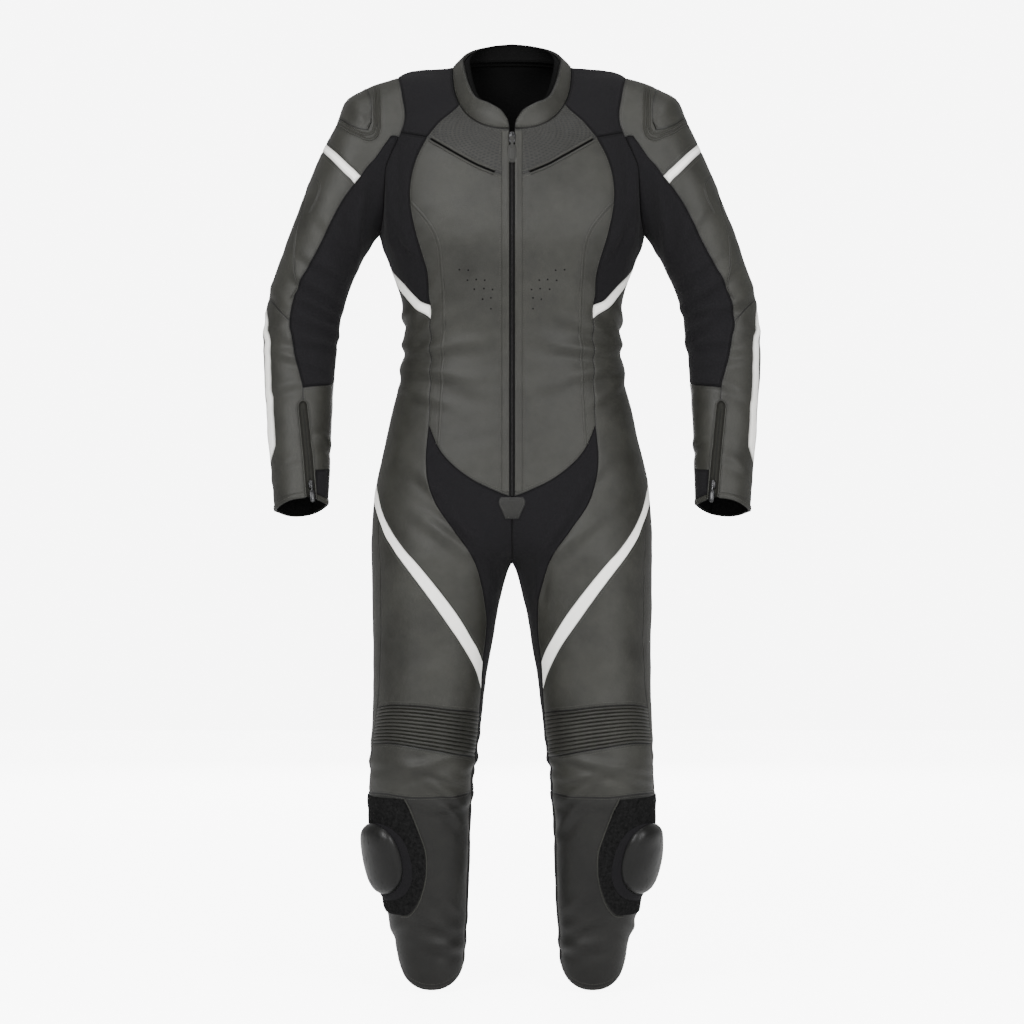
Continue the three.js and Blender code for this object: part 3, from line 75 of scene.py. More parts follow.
# Sections of the body, from the neck seam to the hem
# heights at the side, front and back; outer and inner edge; depth to the front and back of the mid line;
# power 2 is an ellipse and more is squarer; ease is how fast a tilted section leaves its side height
BODY = np.array([
    # side, front z, back z, outer, inner, front, back, mid, power, ease
    [10, -88, 22, 86, -86, 92, 68, -3, 2.6, 0.8],
    [-6, -118, -10, 166, -166, 104, 86, -2, 2.5, 0.95],
    [-80, -158, -92, 189, -189, 113, 96, -2, 2.6, 1],
    [-165, -199, -170, 194, -194, 119, 100, -2, 2.75, 1],
    [-238, -238, -238, 191, -191, 121, 99, -2, 2.6, 1],
    [-275, -275, -275, 178, -178, 118, 96, -1, 2.4, 1],
    [-326, -326, -326, 161, -161, 107, 91, 0, 2.4, 1],
    [-380, -380, -380, 157, -157, 97, 88, 0, 2.35, 1],
    [-440, -440, -440, 163, -163, 95, 93, 0, 2.35, 1],
    [-510, -510, -510, 178, -178, 99, 108, 0, 2.35, 1],
    [-560, -560, -560, 190, -190, 103, 120, 0, 2.35, 1],
    [-606, -606, -606, 199, -199, 106, 126, 0, 2.35, 1],
    [-650, -650, -650, 202, -112, 107, 127, 0, 2.35, 1],
    [-688, -688, -688, 203, -34, 106, 124, 0, 2.3, 1],
    [-708, -708, -708, 203, 0, 105, 121, 0, 2.3, 1],
    [-760, -760, -760, 203, 17, 101, 111, -2, 2.25, 1],
    [-820, -820, -820, 201, 28, 96, 99, -6, 2.2, 1],
    [-880, -880, -880, 201, 38, 90, 87, -12, 2.2, 1],
    [-920, -920, -920, 202, 43, 86, 80, -17, 2.2, 1],
    [-965, -965, -965, 203, 48, 84, 74, -22, 2.2, 1],
    [-1010, -1010, -1010, 205, 54, 83, 69, -22, 2.2, 1],
    [-1045, -1045, -1045, 207, 56, 79, 68, -15, 2.2, 1],
    [-1090, -1090, -1090, 206, 60, 73, 71, -4, 2.2, 1],
    [-1140, -1140, -1140, 199, 61, 67, 71, 7, 2.2, 1],
    [-1195, -1195, -1195, 187, 63, 60, 66, 19, 2.2, 1],
    [-1250, -1250, -1250, 174, 67, 55, 58, 31, 2.2, 1],
    [-1283, -1326, -1272, 165, 69, 50, 50, 40, 2.2, 1],
])

# Sections of the sleeve: its outer and inner edge in front view, depth to the front and back of the mid line,
# and how far the section's front and back lie above its edges
SLEEVE = np.array([
    # outer x, outer z, inner x, inner z, front, back, mid, front lift, back lift
    [166, -5, 193, -234, 64, 62, 0, 0, 0],
    [212, -22, 198, -240, 66, 64, -1, 0, 0],
    [244, -55, 203, -247, 68, 66, -2, 0, 0],
    [266, -95, 209, -257, 68, 67, -3, 0, 0],
    [288, -144, 217, -271, 67, 66, -4, 0, 0],
    [309, -197, 228, -294, 64, 64, -5, 0, 0],
    [331, -257, 239, -323, 61, 61, -7, 0, 0],
    [350, -316, 248, -356, 58, 58, -9, 1, -1],
    [359, -385, 253, -402, 56, 56, -13, 3, -3],
    [357, -445, 257, -450, 53, 53, -24, 7, -6],
    [352, -507, 260, -509, 49, 49, -40, 10, -9],
    [346, -570, 261, -568, 45, 45, -57, 12, -10],
    [340, -632, 262, -622, 41, 40, -74, 14, -12],
], float)
SLEEVE_POWER = 2.3

# How far the armhole bows towards the neck, by its angle
ARMHOLE_BOW = np.array([
    # turn, shift
    [0, 0], [25, -5], [46, -12], [68, -20], [84, -13], [96, -2], [111, -3], [134, -5], [160, -3], [180, 0],
], float)
BACK_BOW = 0.45
BOW_REACH = 1.2

# Top edge of the stand collar
COLLAR_TOP = np.array([
    # turn, x, y, z
    [-90, 0, 57, 52], [-60, 36, 50, 48], [-30, 62, 28, 38], [-5, 71, 2, 24], [15, 70, -24, 10],
    [35, 63, -54, -18], [52, 52, -75, -40], [68, 33, -87, -50], [81, 15, -92, -61], [90, 4, -93, -76],
], float)
COLLAR_BULGE = 2.5
LINING_INSET = 10.0


def smooth(t):
    """Rises from 0 to 1 as t does, level at both ends."""
    t = np.clip(t, 0, 1)
    return t * t * (3 - 2 * t)


def unit(v):
    return v / np.maximum(np.linalg.norm(v, axis=-1, keepdims=True), 1e-9)


def signed_power(v, power):
    return np.sign(v) * np.abs(v) ** power


def row_at(table, s):
    """The rows of a table at places s between its rows, on a smooth curve through them."""
    s = np.asarray(s, float)
    last = len(table) - 1
    i = np.clip(np.floor(s).astype(int), 0, last - 1)
    t = np.clip(s - i, 0, 1)[..., None]
    a, b, c, d = (table[np.clip(i + k, 0, last)] for k in (-1, 0, 1, 2))
    square = (2 * a - 5 * b + 4 * c - d) * t**2
    return 0.5 * (2 * b + (c - a) * t + square + (3 * b - a - 3 * c + d) * t**3)


def row_by_turn(table, turn):
    """The rows of a table whose first column is a rising angle, at those angles."""
    i = np.clip(np.searchsorted(table[:, 0], turn), 1, len(table) - 1)
    low, high = table[i - 1, 0], table[i, 0]
    return row_at(table, i - 1 + np.clip((turn - low) / (high - low), 0, 1))


def body_at(s, turn):
    """Points of the body: superellipses whose height slides from the side's to the front's or the back's."""
    side, front_z, back_z, outer, inner, front, back, mid, power, ease = np.moveaxis(row_at(BODY, s), -1, 0)
    c, f = np.cos(np.radians(turn)), np.sin(np.radians(turn))
    depth, end_z = np.where(f > 0, front, back), np.where(f > 0, front_z, back_z)
    return np.stack([
        (outer + inner) / 2 + (outer - inner) / 2 * signed_power(c, 2 / power),
        mid - depth * signed_power(f, 2 / power),
        side + (end_z - side) * np.abs(f) ** ease,
    ], -1)


def sleeve_at(s, turn):
    """Points of the sleeve: superellipses hung between its outer and inner edge, bowed near the armhole."""
    ox, oz, ix, iz, front, back, mid, front_lift, back_lift = np.moveaxis(row_at(SLEEVE, s), -1, 0)
    c, f = np.cos(np.radians(turn)), np.sin(np.radians(turn))
    reach = signed_power(c, 2 / SLEEVE_POWER)
    own = (np.asarray(turn, float) + 180) % 360 - 180
    share = np.where(own < 0, BACK_BOW, 1) * np.maximum(0, 1 - np.asarray(s) / BOW_REACH) ** 2
    bow = row_by_turn(ARMHOLE_BOW, np.abs(own))[..., 1] * share
    return np.stack([
        (ox + ix) / 2 + (ox - ix) / 2 * reach + bow,
        mid - np.where(f > 0, front, back) * signed_power(f, 2 / SLEEVE_POWER),
        (oz + iz) / 2 + (oz - iz) / 2 * reach + np.where(f > 0, front_lift, back_lift) * f * f,
    ], -1)


def level_out(turn):
    c, f = np.cos(np.radians(turn)), np.sin(np.radians(turn))
    return np.stack([c, -f, 0 * c], -1)


def collar_at(s, turn):
    """Points of the collar: straight lines from the neck seam to its top edge, bulged in the middle."""
    s, turn = np.broadcast_arrays(np.asarray(s, float), np.asarray(turn, float))
    foot = body_at(0 * s, turn)
    top = row_by_turn(COLLAR_TOP, turn)[..., 1:]
    bulge = COLLAR_BULGE * np.sin(np.pi * s)[..., None]
    return foot + (top - foot) * s[..., None] + level_out(turn) * bulge


def lining_at(s, turn):
    """Points of the collar's lining: the collar moved in level towards the neck's middle."""
    return collar_at(0.12 + 0.86 * np.asarray(s), turn) - level_out(turn) * LINING_INSET


class Surface:
    """A form given by at(s, turn), with its outward direction."""

    def __init__(self, at, last, flip=1):
        self.at, self.last, self.flip = at, last, flip

    def normal(self, s, turn):
        around = self.at(s, turn + 1) - self.at(s, turn - 1)
        down = self.at(np.minimum(s + 0.03, self.last), turn) - self.at(np.maximum(s - 0.03, 0), turn)
        return unit(np.cross(around, down)) * self.flip


body = Surface(body_at, len(BODY) - 1)
sleeve = Surface(sleeve_at, len(SLEEVE) - 1)
collar = Surface(collar_at, 1, -1)
lining = Surface(lining_at, 1, -1)


# Places on the surfaces
def settle(value, shape, high):
    """Where value(s) changes its sign, for a whole array of values, by halving."""
    low, high = np.zeros(shape), np.full(shape, float(high))
    start = np.sign(value(low))
    ends, same = np.where(start < 0, low, high), start == np.sign(value(high))
    for _ in range(26):
        middle = (low + high) / 2
        keep = np.sign(value(middle)) == start
        low, high = np.where(keep, middle, low), np.where(keep, high, middle)
    return np.where(same, ends, (low + high) / 2)


def front(x, z):
    return (0, x, z)


def back(x, z):
    return (1, x, z)


def at_turn(turn, z):
    return (2, turn, z)


def given(place):
    return (3, place[0], place[1])


def on_body(*rows):
    """(s, turn) of places given by height and either turn or distance from the centre line."""
    kind, a, z = np.array(rows, float).T
    angle = np.where(kind == 2, a, 60.0)
    sign = np.where(kind == 1, -1.0, 1.0)
    for _ in range(30):
        s = settle(lambda v: body_at(v, np.where(kind == 2, a, sign * angle))[..., 2] - z, a.shape, body.last)
        outer, inner, power = (row_at(BODY, s)[..., k] for k in (3, 4, 8))
        c = np.clip((a - (outer + inner) / 2) / ((outer - inner) / 2), -1, 1)
        angle = np.where(kind == 2, a, (angle + np.degrees(np.arccos(signed_power(c, power / 2)))) / 2)
    s, turn = np.where(kind == 3, a, s), np.where(kind == 3, z, sign * angle)
    return np.stack([s, turn], -1)


def on_sleeve(*rows):
    """(s, turn) of places given in front view."""
    kind, x, z = np.array(rows, float).T
    angle = np.full(x.shape, 60.0)
    for _ in range(30):
        def beside(v):
            ox, oz, ix, iz = (row_at(SLEEVE, v)[..., k] for k in range(4))
            p = sleeve_at(v, angle)
            return (ox - ix) * (z - p[..., 2]) - (oz - iz) * (x - p[..., 0])
        s = settle(beside, x.shape, sleeve.last)
        ox, oz, ix, iz = (row_at(SLEEVE, s)[..., k] for k in range(4))
        hx, hz = (ox - ix) / 2, (oz - iz) / 2
        c = ((x - (ox + ix) / 2) * hx + (z - (oz + iz) / 2) * hz) / (hx**2 + hz**2)
        angle = np.degrees(np.arccos(signed_power(np.clip(c, -1, 1), SLEEVE_POWER / 2)))
    return np.stack([np.where(kind == 3, x, s), np.where(kind == 3, z, angle)], -1)


def nearest_on_body(points):
    """(s, turn) on the body nearest to points, on a grid that closes in."""
    s0, t0 = np.meshgrid(np.arange(0.2, 5, 0.2), np.arange(-84, 85, 6.0), indexing="ij")
    s0, t0 = s0.ravel(), t0.ravel()
    best = np.argmin(np.linalg.norm(body_at(s0, t0)[None] - points[:, None], axis=-1), axis=1)
    s, turn = s0[best], t0[best]
    around = np.array([[i, j] for i in (-1, 0, 1) for j in (-1, 0, 1)], float)
    step = 1.0
    while step > 0.001:
        near_s = np.maximum(s[:, None] + 0.2 * step * around[:, 0], 0)
        near_t = turn[:, None] + 6 * step * around[:, 1]
        pick = np.argmin(np.linalg.norm(body_at(near_s, near_t) - points[:, None], axis=-1), axis=1)
        s, turn = near_s[np.arange(len(s)), pick], near_t[np.arange(len(s)), pick]
        step *= 0.75
    return np.stack([s, turn], -1)


# Seams: rows of s, turn, a shift off the surface and a lean of the outward direction
def trace(places):
    """A smooth line through places on a surface."""
    count = (len(places) - 1) * SPAN_POINTS + 1
    line = row_at(np.asarray(places, float), np.linspace(0, len(places) - 1, count))
    return np.hstack([line, np.zeros((len(line), 6))])


def seam(*rows):
    """A smooth line over the body, drawn in front view wherever a span has both its ends given there."""
    line = trace(on_body(*rows))
    flat = body_at(line[::SPAN_POINTS, 0], line[::SPAN_POINTS, 1])[:, ::2]
    kind = np.array(rows, float)[:, 0]
    drawn = np.flatnonzero((kind[:-1] == kind[1:]) & (kind[:-1] < 2))
    share = np.arange(1, SPAN_POINTS) / SPAN_POINTS
    for k in drawn:
        view = front if kind[k] == 0 else back
        line[k * SPAN_POINTS + 1 : (k + 1) * SPAN_POINTS,
            :2] = on_body(*(view(x, z) for x, z in row_at(flat, k + share)))
    return line


def level(start, end, spans=6):
    share = np.linspace(0, 1, spans * SPAN_POINTS + 1)[:, None]
    line = np.asarray(start)[:2] * (1 - share) + np.asarray(end)[:2] * share
    return np.hstack([line, np.zeros((len(line), 6))])


def cut(line, start, end):
    return line[start * SPAN_POINTS : end * SPAN_POINTS + 1]


def chain(*lines):
    return np.vstack([line if i == 0 else line[1:] for i, line in enumerate(lines)])


def turned(line, angle):
    out = line.copy()
    out[:, 1] += angle
    return out


def behind(line):
    out = line.copy()
    out[:, 1] *= -1
    return out


def neck_normal(turn):
    return unit(body.normal(0 * turn, turn) + collar.normal(0 * turn, turn))


def neck_line(start, end, surface=body):
    turn = np.linspace(start, end, 41)
    line = level((0, start), (0, end), 4)
    line[:, 5:] = neck_normal(turn) - surface.normal(0 * turn, turn)
    return line


def armhole_normal(turn):
    c, f = np.cos(np.radians(turn)), np.sin(np.radians(turn))
    return unit(np.stack([np.full(c.shape, 0.12), -f, c], -1))


def armhole_line(start, end, surface):
    """A stretch of the armhole, as a seam of the sleeve or of the body."""
    turn = np.linspace(start, end, 61)
    line = np.zeros((61, 8))
    line[:, 1] = turn
    if surface is body:
        p = sleeve_at(0 * turn, turn)
        line[:, :2] = nearest_on_body(p)
        line[:, 2:5] = p - body_at(line[:, 0], line[:, 1])
    line[:, 5:] = armhole_normal(turn) - surface.normal(line[:, 0], line[:, 1])
    return line


def centre_seam(places):
    """A line on the mirror plane, whose outward direction lies in that plane."""
    line = trace(places)
    p = body_at(line[:, 0], line[:, 1])
    line[:, 2] = -p[:, 0]
    run = np.gradient(p, axis=0)
    n = unit(np.stack([0 * run[:, 0], run[:, 2], -run[:, 1]], -1))
    line[:, 5:] = n - body.normal(line[:, 0], line[:, 1])
    return line


def on_centre(heights, rear):
    z = np.array(heights, float)
    s = settle(lambda v: row_at(BODY, v)[..., 0] - z, z.shape, body.last)
    outer, inner, power = (row_at(BODY, s)[..., k] for k in (3, 4, 8))
    c = -(outer + inner) / (outer - inner)
    angle = np.minimum(np.degrees(np.arccos(signed_power(np.maximum(c, -1), power / 2))), 180)
    return np.stack([s, 360 - angle if rear else angle], -1)


NECK_FRONT = math.degrees(math.acos((ZIP_HALF / 86) ** 1.3))
NECK_CHEST, NECK_YOKE_BACK = 32, -42
ARMHOLE_YOKE, ARMHOLE_STRETCH = 78, 81
WAIST, WAIST_CENTRE, KNEE_BACK = -430, -418, -1036
BACK_TURN, OUTER_BACK = -50, -42
INNER_FRONT, INNER_BACK = 163, 198

# Body seams, front
armhole_front = armhole_line(-ARMHOLE_YOKE, ARMHOLE_YOKE, body)
armhole_under = armhole_line(ARMHOLE_YOKE, 360 - ARMHOLE_YOKE, body)
yoke_armhole, yoke_armhole_back = armhole_front[-1], armhole_front[0]
chest_corner = front(121, -99)
yoke_chest = seam(given((0, NECK_CHEST)), front(101, -74), chest_corner)
yoke_side = level(yoke_chest[-1], yoke_armhole, 3)
yoke_side[:, 2:] = yoke_armhole[2:] * np.linspace(0, 1, len(yoke_side))[:, None] ** 2
front_edge = seam(
    chest_corner, front(137, -131), front(145, -163), front(145, -195), front(137, -237), front(122, -289),
    front(117, -339), front(116, -358), front(117, -435), front(119, -510),
)
front_foot = seam(
    front(119, -510), front(104, -544), front(83, -568), front(54, -589), front(18, -606),
    front(ZIP_HALF, -611),
)
chest_foot = seam(chest_corner, front(92, -117), front(50, -141), front(ZIP_HALF, -158))
opening = seam(
    given((0, NECK_FRONT)),
    *(front(ZIP_HALF, z) for z in (-105, -130, -158, -190, -225, -260, -300, -340, -380, -425, -470, -515,
    -560, -611)),
)
opening[0, 5:] = neck_normal(np.array(NECK_FRONT)) - body.normal(0, NECK_FRONT)
stripe_back_top, stripe_back_foot = back(143, -238), back(138, -262)
torso_stripe_top = seam(
    front(117, -339), front(135, -328), front(154, -308), at_turn(0, -279), stripe_back_top)
torso_stripe_foot = seam(
    front(116, -358), front(134, -345), front(151, -328), at_turn(0, -302), stripe_back_foot)

# Body seams, back
yoke_back = trace(on_body(given((0, NECK_YOKE_BACK)), back(112, -34), given(yoke_armhole_back)))
yoke_back[:, 2:] = yoke_armhole_back[2:] * np.linspace(0, 1, len(yoke_back))[:, None] ** 4
side_back = trace(on_body(
    given(yoke_armhole_back), back(152, -130), back(149, -185), stripe_back_top, stripe_back_foot,
    back(124, -330), back(118, -380), at_turn(BACK_TURN, WAIST),
))
side_back[:, 2:] = yoke_armhole_back[2:] * np.maximum(0, 1 - np.linspace(0, 7, len(side_back)))[:, None] ** 4
waist_back = level(*on_body(at_turn(-90, WAIST_CENTRE), at_turn(BACK_TURN, WAIST)))
hip_back = trace(on_body(*(
    at_turn(BACK_TURN + turn, z)
    for turn, z in ((0, WAIST), (0, -480), (0, -530), (4, -560), (6, -590), (4, -660), (0, -740), (0, -830),
                    (0, -930), (0, KNEE_BACK))
)))

# Thigh stripe and the stretch crotch piece
stripe_end_top, stripe_end_foot = at_turn(152, -848), at_turn(159, -889)
thigh_stripe_top = seam(
    at_turn(BACK_TURN + 4, -560), at_turn(-15, -575), at_turn(10, -600), front(185.6, -635),
    front(172.6, -661),
    front(155.2, -685), front(133.4, -709), front(111.7, -735), front(89.9, -763), front(72.5, -787.5),
    front(57.3, -813.5), stripe_end_top,
)
thigh_corner = at_turn(23, -646)
thigh_stripe_foot = seam(
    at_turn(BACK_TURN + 6, -590), at_turn(-15, -603), at_turn(10, -626), thigh_corner, front(181.3, -670),
    front(163.9, -696), front(142.1, -724.5), front(120.4, -753), front(94.3, -789.5), front(74.7, -818),
    front(59.5, -844), front(48.6, -870), stripe_end_foot,
)
ribs_inner = at_turn(INNER_FRONT, -922)
crotch_front = seam(
    front(119, -510), front(123, -557), front(119, -594), front(108, -624), front(83, -660), front(57, -697),
    front(42, -740), front(36, -790), stripe_end_top, stripe_end_foot, ribs_inner,
)
crotch_row = int(np.argmax(BODY[:, 4] == 0))
centre_down = np.vstack([on_centre((-612, -632, -652, -670, -684, -695, -702), False), [[crotch_row, 180]]])
centre_up = on_centre((-702, -693, -678, -655, -625, -585, -545, -505, -465, WAIST_CENTRE), True)
centre_line = centre_seam(np.vstack([centre_down, centre_up]))
crotch_centre = cut(centre_line, 0, len(centre_down) - 1)
seat_centre = centre_line[(len(centre_down) - 1) * SPAN_POINTS :][::-1]
inner_back_top, inner_back_foot = on_body(at_turn(INNER_BACK, -922), at_turn(INNER_BACK, KNEE_BACK))
crotch_back = level(crotch_centre[-1], inner_back_top, 6)
crotch_back[:, 2:] = crotch_centre[-1, 2:] * np.maximum(0, 1 - np.linspace(0, 8, len(crotch_back)))[:, None]
seat_inner_side = level(inner_back_top, inner_back_foot, 3)

# Leg seams
ribs_outer_top, ribs_outer_foot, knee_outer_foot = at_turn(27, -914), at_turn(18, -966), at_turn(12,
    KNEE_BACK)
thigh_side_seam = seam(
    thigh_corner, front(189, -706), front(188, -772), front(188, -839), ribs_outer_top, ribs_outer_foot,
    at_turn(14, -1000), knee_outer_foot,
)
ribs_top = seam(ribs_outer_top, front(170, -909), front(130, -910), front(90, -915), ribs_inner)
ribs_foot_inner, knee_inner_foot = at_turn(INNER_FRONT, -986), at_turn(INNER_FRONT, KNEE_BACK)
ribs_foot = seam(ribs_outer_foot, front(172, -963), front(130, -969), front(87, -977), ribs_foot_inner)
knee_foot = seam(knee_outer_foot, front(178, -1036), front(140, -1040), front(95, -1040), knee_inner_foot)
ribs_inner_side = level(*on_body(ribs_inner, ribs_foot_inner), 3)
knee_inner_side = level(*on_body(ribs_foot_inner, knee_inner_foot), 3)
shin_back_top, back_foot = on_body(at_turn(OUTER_BACK, KNEE_BACK), at_turn(BACK_TURN, KNEE_BACK))
hem_back, hem_inner = (body.last, OUTER_BACK), (body.last, INNER_FRONT)
shin_outer_side = level(shin_back_top, hem_back)
shin_inner_side = level(knee_foot[-1], hem_inner)
knee_side_foot = level(shin_back_top, knee_foot[0], 2)
knee_back_outer = level(back_foot, shin_back_top, 1)
knee_back_inner = level(knee_foot[-1], inner_back_foot, 1)
knee_back_middle = level(inner_back_foot, back_foot + (0, 360), 4)

# Sleeve seams
def on_armhole(turn):
    return given((0, turn))


arm_places = on_sleeve(*(front(x, z) for x, z in (
    (172.5, -96), (180, -105), (196, -128), (216, -153), (225, -164), (243, -189), (276, -254), (304, -305),
    (318, -360), (314, -385), (305, -428),
    (298, -456))))
band_top_end, band_foot_end, elbow_end, wrist_end = arm_places[[3, 4, 8, 11]]
arm_edge = trace(np.vstack([[[0, ARMHOLE_STRETCH]], arm_places]))
arm_edge_back = behind(arm_edge)
ARM_BAND_TOP, ARM_BAND_FOOT, ARM_ELBOW, ARM_WRIST = 4, 5, 9, 12


def over_arm(end, outer_s):
    """A seam across the outer side of the sleeve, straight in front view and the same behind."""
    ends = np.stack([sleeve_at(outer_s, 0), sleeve_at(*end)])[:, ::2]
    straight = (ends[0] + (ends[1] - ends[0]) * share for share in (0.08, 0.25, 0.5, 0.75))
    half = trace(np.vstack([[[outer_s, 0]], on_sleeve(*(front(x, z) for x, z in straight)), [end]]))
    return chain(behind(half)[::-1], half)


band_top = over_arm(band_top_end, 3.16)
band_foot = over_arm(band_foot_end, 3.4)
elbow_line = over_arm(elbow_end, 7.15)
stretch_front = trace(np.vstack([[wrist_end], on_sleeve(front(268, -452)), [[8.95, 180]]]))
stretch_foot = chain(stretch_front, turned(behind(stretch_front), 360)[::-1])
ZIP_CUFF, CUFF_BACK = (101, 124), 250
zip_head_outer = on_sleeve(front(305, -474))[0]
zip_head_inner, zip_head = zip_head_outer + (0, 15), zip_head_outer + (0, 7.5)
wrist_seam = level(wrist_end, zip_head, 1)
CHANNEL_ROUND = 0.16
CHANNEL_START = 2  # point of a channel side where its cloth starts


def channel_side(corner, cuff_turn):
    """A side of the cuff channel: a quarter of an ellipse from its head, then straight to the cuff."""
    angle = np.linspace(0, np.pi / 2, SPAN_POINTS + 1)[:, None]
    step = corner - zip_head
    line = zip_head + np.hstack([CHANNEL_ROUND * (1 - np.cos(angle)), step[1] * np.sin(angle)])
    return chain(np.hstack([line, np.zeros((len(line), 6))]), level(line[-1], (sleeve.last, cuff_turn)))


zip_outer_side = channel_side(zip_head_outer, ZIP_CUFF[0])
zip_inner_side = channel_side(zip_head_inner, ZIP_CUFF[1])
wrist_seam_back = level(arm_edge_back[-1], (sleeve.last, CUFF_BACK - 360))


# Filling a panel
def walk(surface, side):
    """How a side is read at shares of its length, and that length."""
    p = surface.at(side[:, 0], side[:, 1]) + side[:, 2:5]
    marks = np.concatenate([[0], np.cumsum(np.linalg.norm(np.diff(p, axis=0), axis=1))])
    return (lambda u: np.stack([np.interp(u * marks[-1], marks, column) for column in side.T], -1)), marks[-1]


def coons(bottom, right, top, left, u, v):
    """Blends four sides over the unit square: both ruled surfaces, less the bilinear one."""
    u, v = u[:, None, None], v[None, :, None]
    ruled = (1 - v) * bottom[:, None] + v * top[:, None] + (1 - u) * left[None] + u * right[None]
    corners = (1 - v) * ((1 - u) * bottom[0] + u * bottom[-1]) + v * ((1 - u) * top[0] + u * top[-1])
    return ruled - corners


def relax(grid, scale, times):
    """Draws a grid's inner points to where its lines cross evenly, so that it never folds over."""
    x = grid[..., :2] * scale
    for _ in range(times):
        a = (x[2:, 1:-1] - x[:-2, 1:-1]) / 2
        b = (x[1:-1, 2:] - x[1:-1, :-2]) / 2
        aa, bb, ab = ((p * q).sum(-1, keepdims=True) for p, q in ((a, a), (b, b), (a, b)))
        skew = x[2:, 2:] - x[2:, :-2] - x[:-2, 2:] + x[:-2, :-2]
        even = bb * (x[2:, 1:-1] + x[:-2, 1:-1]) + aa * (x[1:-1, 2:] + x[1:-1, :-2]) - 0.5 * ab * skew
        x[1:-1, 1:-1] = even / np.maximum(2 * (aa + bb), 1e-9)
    grid[..., :2] = x / scale
    return grid


def between_cells(grid, u, v):
    """A grid over the unit square, read at finer shares u and v."""
    fu, fv = u * (grid.shape[0] - 1), v * (grid.shape[1] - 1)
    i, j = (np.clip(f.astype(int), 0, n - 2) for f, n in ((fu, grid.shape[0]), (fv, grid.shape[1])))
    a, b = (fu - i)[:, None, None], (fv - j)[None, :, None]
    low = grid[i][:, j] * (1 - a) + grid[i + 1][:, j] * a
    return low * (1 - b) + (grid[i][:, j + 1] * (1 - a) + grid[i + 1][:, j + 1] * a) * b


EDGE_ROWS = np.array([0, 0.6, 1.3, 2.2, 3.3, 4.8, 7.2])


def spread(length, step):
    """Shares of a length, crowded at both ends where the seams are, an even number of cells."""
    if length < 30:
        return np.linspace(0, 1, 9)
    cells = max(2, 2 * round((length - 2 * EDGE_ROWS[-1]) / step / 2))
    inner = np.linspace(EDGE_ROWS[-1], length - EDGE_ROWS[-1], cells + 1)
    return np.concatenate([EDGE_ROWS[:-1], inner, length - EDGE_ROWS[-2::-1]]) / length


class Patch:
    """A grid of places between four sides, with its points, outward directions and distances to the sides."""

    def __init__(self, surface, bottom, right, top, left, step=STEP, rows=None, columns=None):
        self.surface = surface
        sides = [walk(surface, side) for side in (bottom, right, top, left)]
        (b, lb), (r, lr), (t, lt), (l, ll) = sides
        coarse_u = np.linspace(0, 1, int(np.clip(max(lb, lt) / 10, 8, 40)))
        coarse_v = np.linspace(0, 1, int(np.clip(max(lr, ll) / 10, 8, 40)))
        base = coons(b(coarse_u), r(coarse_v), t(coarse_u), l(coarse_v), coarse_u, coarse_v)[..., :5]
        middle = base[len(coarse_u) // 2, len(coarse_v) // 2]
        s, turn = middle[0], middle[1]
        scale = np.array([
            np.linalg.norm(surface.at(min(s + 0.1, surface.last), turn) - surface.at(max(s - 0.1, 0),
            turn)) / 0.2,
            np.linalg.norm(surface.at(s, turn + 1) - surface.at(s, turn - 1)) / 2,
        ])
        base = relax(base, np.maximum(scale, 0.2), 400)
        self.u = spread(max(lb, lt), step) if columns is None else np.linspace(0, 1, columns + 1)
        self.v = spread(max(lr, ll), step) if rows is None else np.linspace(0, 1, rows + 1)
        fine = between_cells(base, self.u, self.v)
        exact = b(self.u), r(self.v), t(self.u), l(self.v)
        ends = fine[:, 0], fine[-1], fine[:, -1], fine[0]
        fine = fine + coons(*(e[:, :5] - f for e, f in zip(exact, ends)), self.u, self.v)
        self.place = fine[..., :2]
        self.p = surface.at(fine[..., 0], fine[..., 1]) + fine[..., 2:5]
        run_u = np.concatenate([0 * self.p[:1, :, 0],
            np.cumsum(np.linalg.norm(np.diff(self.p, axis=0), axis=-1), 0)])
        run_v = np.concatenate([0 * self.p[:, :1, 0],
            np.cumsum(np.linalg.norm(np.diff(self.p, axis=1), axis=-1), 1)], 1)
        self.near = {"bottom": run_v, "right": run_u[-1:] - run_u, "top": run_v[:, -1:] - run_v,
            "left": run_u}
        n = surface.normal(fine[..., 0], fine[..., 1])
        for name, side in zip(("bottom", "right", "top", "left"), exact):
            lean = side[:, None, 5:] if name in ("bottom", "top") else side[None, :, 5:]
            n = n + lean * np.exp(-((self.near[name] / 8) ** 2))[..., None]
        self.n = unit(n)

    def edge(self, seamless=()):
        """Distance to the nearest side that is a seam."""
        return np.min([d for name, d in self.near.items() if name not in seamless], axis=0)


